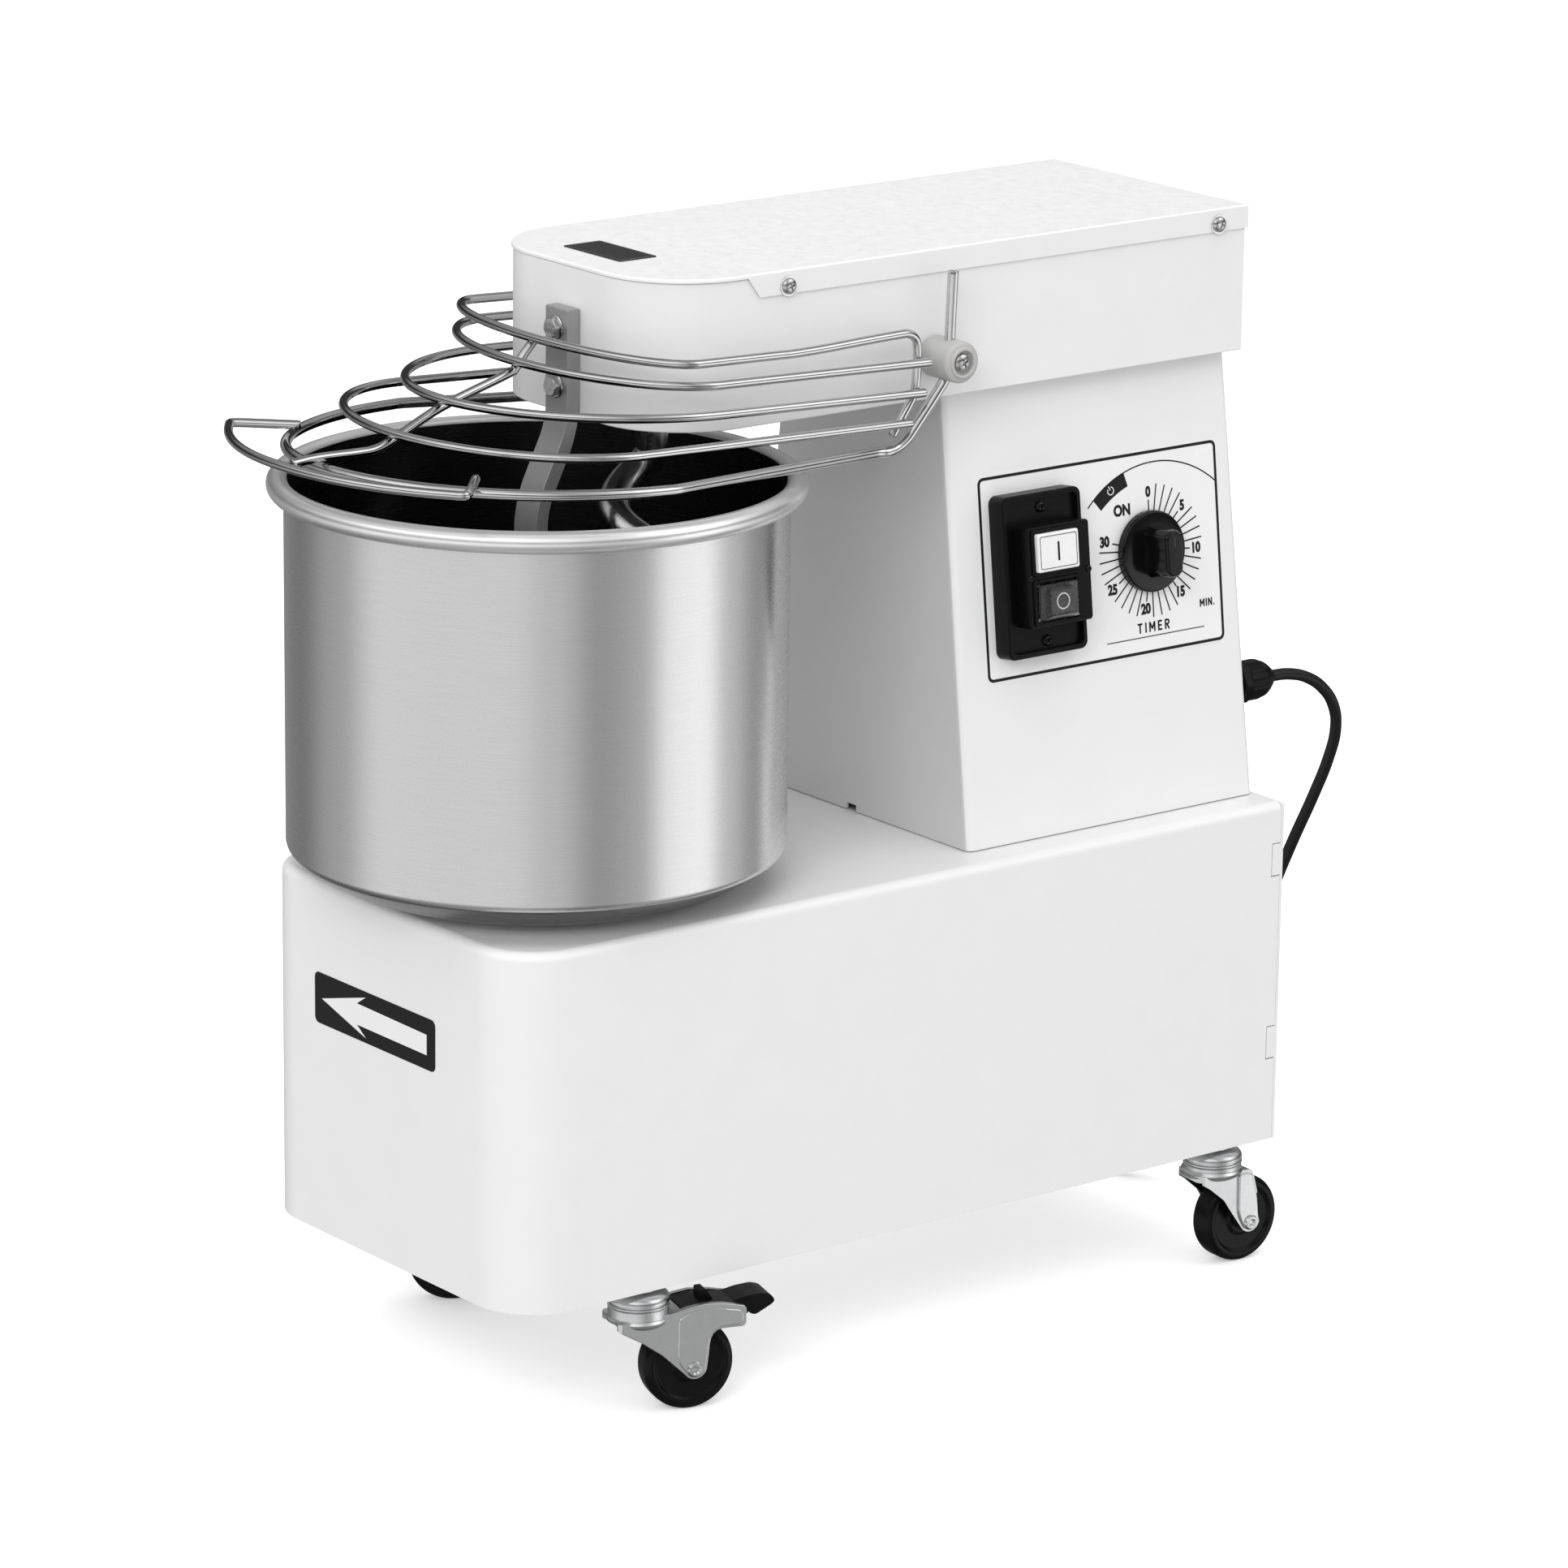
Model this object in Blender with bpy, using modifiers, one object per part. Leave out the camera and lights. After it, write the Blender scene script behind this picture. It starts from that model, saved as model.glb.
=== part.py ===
"""Spiral dough mixer on castors, built as an assembly of separate parts.

Metres, +Z up, floor at z = 0. The bowl is at the -Y end, the control panel faces +X and x = 0 is
the plane of symmetry. The origin is under the middle of the machine, its mains cable not counted.
"""

import math
from math import cos, pi, radians, sin

import bmesh
import bpy
from mathutils import Matrix, Vector

GAP = 0.0003  # clearance between touching pieces
SHEET = 0.002  # housing wall
OVERCUT = 0.004  # how far a cutter runs past what it cuts

# Castors
CASTOR_HEIGHT = 0.069
CASTOR_X = 0.106
CASTOR_FRONT_Y = -0.1500
CASTOR_REAR_Y = 0.2415
BRAKED_TRAIL = 0.0260
PLAIN_TRAIL = 0.0166
WHEEL_RADIUS = 0.0245
WHEEL_HALF_WIDTH = 0.0075
AXLE_Z = WHEEL_RADIUS - CASTOR_HEIGHT
AXLE_RADIUS = 0.0035
AXLE_REACH = 0.0156
RACE_RADIUS = 0.0163
RACE_BOTTOM = -0.0096
WEB_BOTTOM = -0.0176
FORK_HALF_WIDTH = 0.0138
FORK_SLOT = 0.0105
FORK_BOSS = 0.0067
BRAKED_NOSE = 0.0195
PLAIN_NOSE = 0.0180
PEDAL_SLOT = 0.0190
PEDAL_PIVOT = (0.050, -0.0170)
# name, x, y, direction in which the wheel trails, has a brake
CASTORS = (
    ("front_right", CASTOR_X, CASTOR_FRONT_Y, radians(73.8), True),
    ("front_left", -CASTOR_X, CASTOR_FRONT_Y, radians(61), True),
    ("rear_right", CASTOR_X, CASTOR_REAR_Y, radians(87), False),
    ("rear_left", -CASTOR_X, CASTOR_REAR_Y, radians(76), False),
)

# Base
BASE_HALF_WIDTH = 0.1178
BASE_FRONT = -0.2353
BASE_REAR = 0.2760
BASE_BOTTOM = CASTOR_HEIGHT
BASE_TOP = 0.2607
BASE_CORNER = 0.035
BASE_EDGE = 0.005
TAB_HEIGHTS = (BASE_TOP - 0.032, BASE_TOP - 0.136)
TAB_LENGTH = 0.019
TAB_DEPTH = 0.006

# Head
HEAD_HALF_WIDTH = 0.0795
HEAD_FRONT = -0.1212
HEAD_REAR = 0.2685
HEAD_BOTTOM = 0.5049
HEAD_CORNER = 0.0484
LID_HALF_WIDTH = 0.0808
LID_REAR = 0.2697
LID_TOP = 0.5842
LID_SKIRT = 0.0125
LID_SKIRT_FRONT = -0.0660
LID_SKIRT_SLOPE = 0.0105

# Column between base and head
COLUMN_FOOT_HALF = 0.0965
COLUMN_TOP_HALF = 0.0676
COLUMN_FRONT = 0.0721
COLUMN_FOOT_REAR = 0.2716
COLUMN_TOP_REAR = 0.2671
COLUMN_EDGE = 0.004
COLUMN_LEAN = math.atan2(COLUMN_FOOT_HALF - COLUMN_TOP_HALF, HEAD_BOTTOM - BASE_TOP)

# Bowl
BOWL_Y = -0.1389
BOWL_RADIUS = 0.130
BOWL_WALL = 0.002
BOWL_RIM_Z = 0.4715
BOWL_RIM_RADIUS = 0.1331
BOWL_RIM_TUBE = 0.0058
BOWL_BOTTOM = BASE_TOP + 0.0065
BOWL_FOOT_RADIUS = 0.1090
BOWL_CORNER_Z = BOWL_BOTTOM + 0.0124
BOWL_SHAFT_RADIUS = 0.0125

# Spiral
SPIRAL_Y = BOWL_Y + 0.073
SPIRAL_BAR = 0.0085
SPIRAL_RADIUS = 0.041
SPIRAL_HOOK_TOP = 0.4800
SPIRAL_BOTTOM = 0.2860
SPIRAL_SHAFT_TOP = 0.5560
SPIRAL_START = radians(218)
SPIRAL_TURN = radians(490)
SPIRAL_OPENING_DROP = 0.0394

# Drive train: 06B chain, all shafts upright
PITCH = 0.009525
DRIVE_Y = 0.1061
DRIVE_SHAFT_RADIUS = 0.009
DRIVE_SHAFT_TOP = 0.5567
DRIVE_SHAFT_BOTTOM = 0.1400
MOTOR_Y = 0.1961
MOTOR_RADIUS = 0.048
MOTOR_TOP = 0.3790
GEARBOX_BOTTOM = 0.1720
LOWER_CHAIN_Z = 0.1502
UPPER_CHAIN_Z = 0.5397
CHAIN_WIDTH = 0.0055
SPROCKET_WIDTH = 0.0052
LOWER_DRIVE_TEETH = 12
BOWL_TEETH = 54
UPPER_DRIVE_TEETH = 30
SPIRAL_TEETH = 15

# Breaker bar on the front of the head
BAR_X = 0.003
BAR_WIDTH = 0.019
BAR_THICKNESS = 0.008
BAR_TOP = 0.5618
BAR_JOG_TOP = 0.4990
BAR_JOG_BOTTOM = 0.4590
BAR_JOG = 0.0197
BAR_BOTTOM = 0.2830
BOLT_HEIGHTS = (0.5515, 0.5212)
BOLT_RADIUS = 0.003
BOLT_HEAD_ACROSS = 0.010
BOLT_HEAD = 0.0042

# Guard, in its own frame: origin on the pivot, -Y forward, tilted in the machine
GUARD_Y = 0.0560
GUARD_Z = 0.5280
GUARD_TILT = radians(-2.23)
WIRE = 0.0024
MAIN_WIRE = 0.0029
MAIN_WIRE_X = 0.0935
BUSH_RADIUS = 0.011
BUSH_INNER = HEAD_HALF_WIDTH + 0.0006
BUSH_OUTER = 0.1050
PIN_RADIUS = 0.0035
PIN_END = 0.0886
# level, half width of the front arc, arc centre, arc depth, half width at the rear end
HOOPS = (
    (0.0122, 0.0975, -0.1663, 0.0351, 0.0960),
    (0.0010, 0.1006, -0.1546, 0.0575, 0.0987),
    (-0.0148, 0.0984, -0.1500, 0.1070, 0.0987),
    (-0.0298, 0.1055, -0.2055, 0.0810, 0.0993),
    (-0.0450, 0.1208, -0.1940, 0.1310, MAIN_WIRE_X),
)
HOOP_REARS = (-0.105, -0.0175, -0.0200, -0.0285, -0.046)
HANDLE_LEVEL = -0.0390
HANDLE_HALF = 0.104
HANDLE_REAR = -0.2870
HANDLE_FRONT = -0.3498
HANDLE_SLOPE = 0.04
LEFT_SAG = 0.0019

# Control panel on the column's +X side, in the panel's frame: X outward, Y along, Z up the slope
PANEL_Z = 0.4047
PANEL_X = COLUMN_FOOT_HALF - math.tan(COLUMN_LEAN) * (PANEL_Z - BASE_TOP)
PANEL_Y = 0.1750
SWITCH_Y = -0.0498
SWITCH_Z = -0.0020
SWITCH_PLATE = (0.0115, 0.054, 0.087)
SWITCH_BLOCK = (0.0100, 0.043, 0.0536)
SWITCH_BACK = (0.030, 0.043, 0.062)
BUTTON_SIZE = (0.028, 0.0205)
START_Z = 0.0131
STOP_Z = -0.0134
BUTTON_TRAVEL = 0.003
WELL_FLOOR = 0.0085
KNOB_Y = 0.0312
KNOB_Z = -0.0019
KNOB_RADIUS = 0.022
KNOB_DISC = 0.0060
KNOB_DEPTH = 0.0225
TIMER_BODY = (0.034, 0.044, 0.040)
TIMER_SHAFT = 0.003

# Mains cable
CABLE = 0.00325
GLAND_X = 0.078
GLAND_Z = 0.3193
GLAND_END = 0.2971
COIL_X = -0.094
COIL_Y = 0.335
COIL_RADIUS = 0.036
COIL_HALF = 0.0066
PLUG_Y = 0.402
PLUG_BACK = -0.098
PLUG_RADIUS = 0.0185
ON_FLOOR = CABLE + GAP
CABLE_ROUTE = (
    (GLAND_X, GLAND_END + 2 * GAP, GLAND_Z),
    (0.0780, 0.3120, 0.3183),
    (0.0780, 0.3260, 0.3140),
    (0.0775, 0.3385, 0.3055),
    (0.0745, 0.3490, 0.2935),
    (0.0680, 0.3570, 0.2780),
    (0.0575, 0.3620, 0.2580),
    (0.0440, 0.3640, 0.2330),
    (0.0300, 0.3620, 0.2030),
    (0.0175, 0.3570, 0.1680),
    (0.0070, 0.3500, 0.1300),
    (-0.0010, 0.3410, 0.0920),
    (-0.0080, 0.3300, 0.0570),
    (-0.0170, 0.3175, 0.0270),
    (-0.0290, 0.3070, 0.0085),
    (-0.0430, 0.2995, ON_FLOOR),
    (-0.0570, 0.2965, ON_FLOOR),
    (-0.0705, 0.2957, ON_FLOOR),
)
TAIL_ROUTE = (
    (-0.1333, 0.3586, ON_FLOOR + 2 * CABLE),
    (-0.1330, 0.3700, ON_FLOOR + 2 * CABLE),
    (-0.1300, 0.3820, 0.0115),
    (-0.1235, 0.3925, 0.0144),
    (-0.1140, 0.3995, 0.0172),
    (-0.1060, PLUG_Y, 0.0187),
    (PLUG_BACK - 2 * GAP, PLUG_Y, PLUG_RADIUS + GAP),
)

PARTS = "spiral_dough_mixer"
CUTTERS = "cutters"


# ------------------------------------------------------------------ scene and materials


def clear_scene():
    for thing in list(bpy.data.objects):
        bpy.data.objects.remove(thing, do_unlink=True)
    for name in (PARTS, CUTTERS):
        bpy.context.scene.collection.children.link(bpy.data.collections.new(name))


def material(name, colour, roughness, metallic=0.0):
    found = bpy.data.materials.get(name)
    if found:
        return found
    made = bpy.data.materials.new(name)
    made.use_nodes = True
    shader = made.node_tree.nodes["Principled BSDF"]
    shader.inputs["Base Color"].default_value = (*colour, 1.0)
    shader.inputs["Roughness"].default_value = roughness
    shader.inputs["Metallic"].default_value = metallic
    return made


def white_paint():
    return material("white_paint", (0.86, 0.86, 0.85), 0.35)


def stainless():
    return material("stainless", (0.62, 0.62, 0.61), 0.28, 1.0)


def chrome():
    return material("chrome_wire", (0.72, 0.72, 0.72), 0.12, 1.0)


def steel():
    return material("machine_steel", (0.36, 0.36, 0.37), 0.40, 1.0)


def zinc():
    return material("zinc_plate", (0.66, 0.67, 0.68), 0.30, 1.0)


def cast_metal():
    return material("cast_metal", (0.30, 0.32, 0.34), 0.55, 0.6)


def black_plastic():
    return material("black_plastic", (0.016, 0.016, 0.017), 0.38)


def rubber():
    return material("black_rubber", (0.012, 0.012, 0.012), 0.55)


def nylon():
    return material("nylon", (0.72, 0.72, 0.70), 0.45)


def white_plastic():
    return material("white_plastic", (0.85, 0.85, 0.84), 0.30)


def grey_plastic():
    return material("grey_plastic", (0.16, 0.16, 0.17), 0.25)


# ------------------------------------------------------------------ building blocks


def empty(name, location, rotation=(0.0, 0.0, 0.0), parent=None):
    frame = bpy.data.objects.new(name, None)
    frame.location = location
    frame.rotation_euler = rotation
    frame.parent = parent
    bpy.data.collections[PARTS].objects.link(frame)
    return frame


def link(thing, name, finish, parent):
    """Put an object among the parts, or among the cutters when it has no finish."""
    thing.name = name
    thing.data.name = name
    for held in list(thing.users_collection):
        held.objects.unlink(thing)
    bpy.data.collections[PARTS if finish else CUTTERS].objects.link(thing)
    thing.parent = parent
    if finish:
        thing.data.materials.clear()
        thing.data.materials.append(finish)
    else:
        thing.hide_render = True
        thing.display_type = "WIRE"
    return thing


def object_of(shape, name, finish, parent=None):
    mesh = bpy.data.meshes.new(name)
    shape.normal_update()
    shape.to_mesh(mesh)
    shape.free()
    mesh.shade_smooth()
    mesh.set_sharp_from_angle(angle=radians(35))
    return link(bpy.data.objects.new(name, mesh), name, finish, parent)


def box(name, low, high, finish, parent=None, edge=0.0):
    """A block between two corners, with its edges rounded by edge."""
    low = Vector(low)
    high = Vector(high)
    size = high - low
    shape = bmesh.new()
    bmesh.ops.create_cube(shape, size=1.0)
    bmesh.ops.scale(shape, vec=size, verts=shape.verts)
    bmesh.ops.translate(shape, vec=(low + high) / 2, verts=shape.verts)
    made = object_of(shape, name, finish, parent)
    if edge:
        rounded(made, edge)
    return made


def rounded(thing, width, segments=2, angle=40.0):
    bevel = thing.modifiers.new("edges", "BEVEL")
    bevel.width = width
    bevel.segments = segments
    bevel.limit_method = "ANGLE"
    bevel.angle_limit = radians(angle)
    bevel.harden_normals = True
    return thing


def rod(name, radius, start, end, finish, parent=None, sides=16):
    """A straight cylinder between two points."""
    start = Vector(start)
    end = Vector(end)
    axis = end - start
    turn = axis.to_track_quat("Z", "Y").to_matrix().to_4x4()
    place = Matrix.Translation((start + end) / 2) @ turn
    shape = bmesh.new()
    bmesh.ops.create_cone(
        shape, cap_ends=True, segments=sides, radius1=radius, radius2=radius, depth=axis.length, matrix=place
    )
    return object_of(shape, name, finish, parent)


def turned(name, profile, finish, parent=None, steps=32, closed=False):
    """A solid of revolution about Z: (radius, z) points that run down the outer side."""
    mesh = bpy.data.meshes.new(name)
    points = [(radius, 0.0, z) for radius, z in profile]
    edges = [(i, i + 1) for i in range(len(points) - 1)]
    if closed:
        edges.append((len(points) - 1, 0))
    mesh.from_pydata(points, edges, [])
    made = link(bpy.data.objects.new(name, mesh), name, finish, parent)
    screw = made.modifiers.new("turn", "SCREW")
    screw.steps = steps
    screw.render_steps = steps
    screw.use_merge_vertices = True
    screw.merge_threshold = 0.00001
    screw.use_smooth_shade = True
    return made


def evaluated(curve, name, finish, parent):
    """The curve's solid as a welded mesh object, which Booleans can use."""
    bpy.context.view_layer.update()
    graph = bpy.context.evaluated_depsgraph_get()
    mesh = bpy.data.meshes.new_from_object(curve.evaluated_get(graph))
    place = curve.matrix_world.copy()
    bpy.data.objects.remove(curve, do_unlink=True)
    shape = bmesh.new()
    shape.from_mesh(mesh)
    bmesh.ops.remove_doubles(shape, verts=shape.verts, dist=0.000001)
    shape.transform(place)
    bpy.data.meshes.remove(mesh)
    return object_of(shape, name, finish, parent)


def curve_object(name, dimensions):
    data = bpy.data.curves.new(name, "CURVE")
    data.dimensions = dimensions
    made = bpy.data.objects.new(name, data)
    bpy.context.scene.collection.objects.link(made)
    return made


def add_spline(curve, points, cyclic=False):
    spline = curve.data.splines.new("POLY")
    spline.points.add(len(points) - 1)
    for node, place in zip(spline.points, points):
        node.co = (*place, 1.0)
    spline.use_cyclic_u = cyclic


def plate(name, outlines, low, high, finish, parent=None, turn=None):
    """A flat outline, its holes after it, from z = low to high; turn lays it in another plane."""
    curve = curve_object(name, "2D")
    for points in outlines:
        add_spline(curve, [(x, y, 0.0) for x, y in points], cyclic=True)
    curve.data.fill_mode = "BOTH"
    curve.data.extrude = (high - low) / 2
    lift = Matrix.Translation((0.0, 0.0, (low + high) / 2))
    curve.matrix_world = (turn or Matrix.Identity(4)) @ lift
    return evaluated(curve, name, finish, parent)


def wire(name, points, radius, finish, parent=None, resolution=2):
    """A round bar along a polyline."""
    curve = curve_object(name, "3D")
    add_spline(curve, points)
    curve.data.bevel_depth = radius
    curve.data.bevel_resolution = resolution
    curve.data.use_fill_caps = True
    return evaluated(curve, name, finish, parent)


def boolean(target, other, operation):
    modifier = target.modifiers.new(other.name, "BOOLEAN")
    modifier.operation = operation
    modifier.object = other
    modifier.solver = "EXACT"
    return target


def cut(target, cutter):
    return boolean(target, cutter, "DIFFERENCE")


def join(target, other):
    return boolean(target, other, "UNION")


def arc(centre, radius, start, end, count):
    """Points on an arc in a plane, angles in degrees."""
    angles = [radians(start + (end - start) * i / count) for i in range(count + 1)]
    return [(centre[0] + radius * cos(a), centre[1] + radius * sin(a)) for a in angles]


def circle(centre, radius, count=24):
    return arc(centre, radius, 0.0, 360.0, count)[:-1]


def front_outline(half, front, rear, corner, count=7):
    """A rectangle seen from above whose two front corners are round."""
    left = arc((-half + corner, front + corner), corner, 180.0, 270.0, count)
    right = arc((half - corner, front + corner), corner, 270.0, 360.0, count)
    return left + right + [(half, rear), (-half, rear)]


def smooth_path(points, spacing):
    """Points about spacing apart on a Catmull-Rom curve through the given ones."""
    route = [Vector(p) for p in points]
    ends = [2 * route[0] - route[1]] + route + [2 * route[-1] - route[-2]]
    fine = []
    for a, b, c, d in zip(ends, ends[1:], ends[2:], ends[3:]):
        for i in range(12):
            t = i / 12
            even = 2 * b + (c - a) * t
            odd = (2 * a - 5 * b + 4 * c - d) * t**2 + (3 * b - a - 3 * c + d) * t**3
            fine.append((even + odd) / 2)
    fine.append(route[-1])
    length = sum((q - p).length for p, q in zip(fine, fine[1:]))
    step = length / round(length / spacing)
    chosen = [fine[0]]
    run = 0.0
    for p, q in zip(fine, fine[1:]):
        run += (q - p).length
        if run >= step * len(chosen) and len(chosen) < round(length / step):
            chosen.append(q)
    return chosen + [fine[-1]]


# ------------------------------------------------------------------ housings


def base_housing():
    """Folded box: top, sides and round front; open below and behind."""
    outline = front_outline(BASE_HALF_WIDTH, BASE_FRONT, BASE_REAR - SHEET - GAP, BASE_CORNER)
    shell = plate("base_housing", [outline], BASE_BOTTOM, BASE_TOP, white_paint())
    bevel = rounded(shell, BASE_EDGE, segments=3, angle=80.0)
    bevel.modifiers["edges"].limit_method = "WEIGHT"
    mark_top_edges(shell, BASE_TOP, BASE_REAR - SHEET - GAP)
    inner = front_outline(
        BASE_HALF_WIDTH - SHEET, BASE_FRONT + SHEET, BASE_REAR + OVERCUT, BASE_CORNER - SHEET
    )
    cut(shell, plate("base_hollow", [inner], BASE_BOTTOM - OVERCUT, BASE_TOP - SHEET, None))
    above = BASE_TOP + OVERCUT
    below = BASE_TOP - 2 * OVERCUT
    cut(shell, rod("bowl_shaft_hole", 0.0145, (0, BOWL_Y, below), (0, BOWL_Y, above), None, sides=24))
    cut(shell, rod("motor_hole", 0.0500, (0, MOTOR_Y, below), (0, MOTOR_Y, above), None, sides=32))
    cut(shell, rod("drive_hole", 0.0120, (0, DRIVE_Y, below), (0, DRIVE_Y, above), None))
    rear = BASE_REAR - SHEET - GAP
    for level in TAB_HEIGHTS:
        for side in (-1, 1):
            low = (side * BASE_HALF_WIDTH - OVERCUT, rear - TAB_DEPTH, level - TAB_LENGTH / 2)
            high = (side * BASE_HALF_WIDTH + OVERCUT, rear + OVERCUT, level + TAB_LENGTH / 2)
            cut(shell, box("tab_notch", low, high, None))
    return shell


def mark_top_edges(thing, level, rear):
    """Give a bevel weight to the upright shell's top edge, its straight rear edge left out."""
    mesh = thing.data
    weights = mesh.attributes.new("bevel_weight_edge", "FLOAT", "EDGE")
    for edge in mesh.edges:
        a, b = (mesh.vertices[i].co for i in edge.vertices)
        on_top = abs(a.z - level) < 1e-5 and abs(b.z - level) < 1e-5
        at_rear = abs(a.y - rear) < 1e-5 and abs(b.y - rear) < 1e-5
        weights.data[edge.index].value = 1.0 if on_top and not at_rear else 0.0


def base_floor_plate():
    """Bottom plate inside the walls; the castors bolt to it."""
    inset = SHEET + GAP
    outline = front_outline(
        BASE_HALF_WIDTH - inset, BASE_FRONT + inset, BASE_REAR - SHEET - 2 * GAP, BASE_CORNER - inset
    )
    holes = [circle((x, y), 0.0056, 12) for _, x, y, _, _ in CASTORS]
    return plate(
        "base_floor_plate", [outline] + holes, BASE_BOTTOM + GAP, BASE_BOTTOM + GAP + SHEET, white_paint()
    )


def base_rear_cover():
    """Flat rear cover with two tabs a side that fill the notches of the base."""
    cover = box(
        "base_rear_cover",
        (-BASE_HALF_WIDTH, BASE_REAR - SHEET, BASE_BOTTOM),
        (BASE_HALF_WIDTH, BASE_REAR, BASE_TOP - 0.0005),
        white_paint(),
    )
    slack = 0.0006
    for level in TAB_HEIGHTS:
        for side in (-1, 1):
            edge = side * BASE_HALF_WIDTH
            inner = edge - side * SHEET
            low = (min(edge, inner), BASE_REAR - SHEET - GAP - TAB_DEPTH + slack, level - TAB_LENGTH / 2 + slack)
            high = (max(edge, inner), BASE_REAR - SHEET / 2, level + TAB_LENGTH / 2 - slack)
            join(cover, box("cover_tab", low, high, None))
    return cover


def column_housing():
    """Tapered sheet column, open at both ends, with holes for the switch, timer and gland."""
    shape = bmesh.new()
    bmesh.ops.create_cube(shape, size=2.0)
    low = BASE_TOP + 2 * GAP
    high = HEAD_BOTTOM - GAP
    for corner in shape.verts:
        top = corner.co.z > 0
        half = COLUMN_TOP_HALF if top else COLUMN_FOOT_HALF
        rear = COLUMN_TOP_REAR if top else COLUMN_FOOT_REAR
        corner.co.x = math.copysign(half, corner.co.x)
        corner.co.y = rear if corner.co.y > 0 else COLUMN_FRONT
        corner.co.z = high if top else low
    ends = [face for face in shape.faces if abs(face.normal.z) > 0.9]
    bmesh.ops.delete(shape, geom=ends, context="FACES_ONLY")
    column = object_of(shape, "column_housing", white_paint())
    rounded(column, COLUMN_EDGE, segments=3)
    wall = column.modifiers.new("wall", "SOLIDIFY")
    wall.thickness = SHEET
    wall.offset = -1.0
    _, half_y, half_z = (s / 2 + GAP for s in SWITCH_BACK)
    panel = panel_frame("panel_cutters")
    cut(
        column,
        box(
            "switch_hole",
            (-0.02, SWITCH_Y - half_y, SWITCH_Z - half_z),
            (0.02, SWITCH_Y + half_y, SWITCH_Z + half_z),
            None,
            panel,
        ),
    )
    cut(column, rod("timer_hole", 0.0045, (-0.02, KNOB_Y, KNOB_Z), (0.02, KNOB_Y, KNOB_Z), None, panel))
    rear = COLUMN_FOOT_REAR
    cut(column, rod("gland_hole", 0.0080, (GLAND_X, rear - 0.02, GLAND_Z), (GLAND_X, rear + 0.02, GLAND_Z), None))
    return column


def head_housing():
    """Trough with a round front: floor and walls, open on top under the lid."""
    top = LID_TOP - SHEET - GAP
    outline = front_outline(HEAD_HALF_WIDTH, HEAD_FRONT, HEAD_REAR, HEAD_CORNER)
    shell = plate("head_housing", [outline], HEAD_BOTTOM, top, white_paint())
    inner = front_outline(
        HEAD_HALF_WIDTH - SHEET, HEAD_FRONT + SHEET, HEAD_REAR - SHEET, HEAD_CORNER - SHEET
    )
    cut(shell, plate("head_hollow", [inner], HEAD_BOTTOM + SHEET, top + OVERCUT, None))
    below = HEAD_BOTTOM - OVERCUT
    above = HEAD_BOTTOM + 2 * OVERCUT
    cut(shell, rod("spiral_hole", 0.0165, (0, SPIRAL_Y, below), (0, SPIRAL_Y, above), None, sides=24))
    cut(shell, box("column_hole", (-0.045, COLUMN_FRONT + 0.012, below), (0.045, 0.190, above), None))
    cut(shell, rod("pivot_holes", PIN_RADIUS + GAP, (-0.1, GUARD_Y, GUARD_Z), (0.1, GUARD_Y, GUARD_Z), None))
    for level in BOLT_HEIGHTS:
        start = (BAR_X, HEAD_FRONT - OVERCUT, level)
        end = (BAR_X, HEAD_FRONT + 2 * OVERCUT, level)
        cut(shell, rod("bolt_hole", BOLT_RADIUS + GAP, start, end, None))
    return shell


def head_lid():
    """Lid plate with a skirt along both sides and the rear, cut away at a slant in front."""
    outline = front_outline(LID_HALF_WIDTH, HEAD_FRONT - 0.0003, LID_REAR, HEAD_CORNER)
    lid = plate("head_lid", [outline], LID_TOP - LID_SKIRT, LID_TOP, white_paint())
    rounded(lid, 0.0012, segments=2, angle=80.0)
    lid.modifiers["edges"].limit_method = "WEIGHT"
    mark_top_edges(lid, LID_TOP, 10.0)
    hollow = front_outline(
        HEAD_HALF_WIDTH + GAP, HEAD_FRONT - 0.02, HEAD_REAR + GAP, HEAD_CORNER
    )
    cut(lid, plate("lid_hollow", [hollow], LID_TOP - LID_SKIRT - OVERCUT, LID_TOP - SHEET, None))
    front = HEAD_FRONT - OVERCUT
    slope = LID_SKIRT_SLOPE
    side = [
        (front, LID_TOP - SHEET),
        (LID_SKIRT_FRONT, LID_TOP - SHEET),
        (LID_SKIRT_FRONT + slope, LID_TOP - LID_SKIRT - OVERCUT),
        (front, LID_TOP - LID_SKIRT - OVERCUT),
    ]
    cut(lid, plate("skirt_cut", [side], -0.1, 0.1, None, turn=side_plane()))
    return lid


def side_plane():
    """Turns the XY plane of an outline into YZ, its thickness along X."""
    return Matrix(((0, 0, 1, 0), (1, 0, 0, 0), (0, 1, 0, 0), (0, 0, 0, 1)))


# ------------------------------------------------------------------ bowl and its drive


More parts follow.
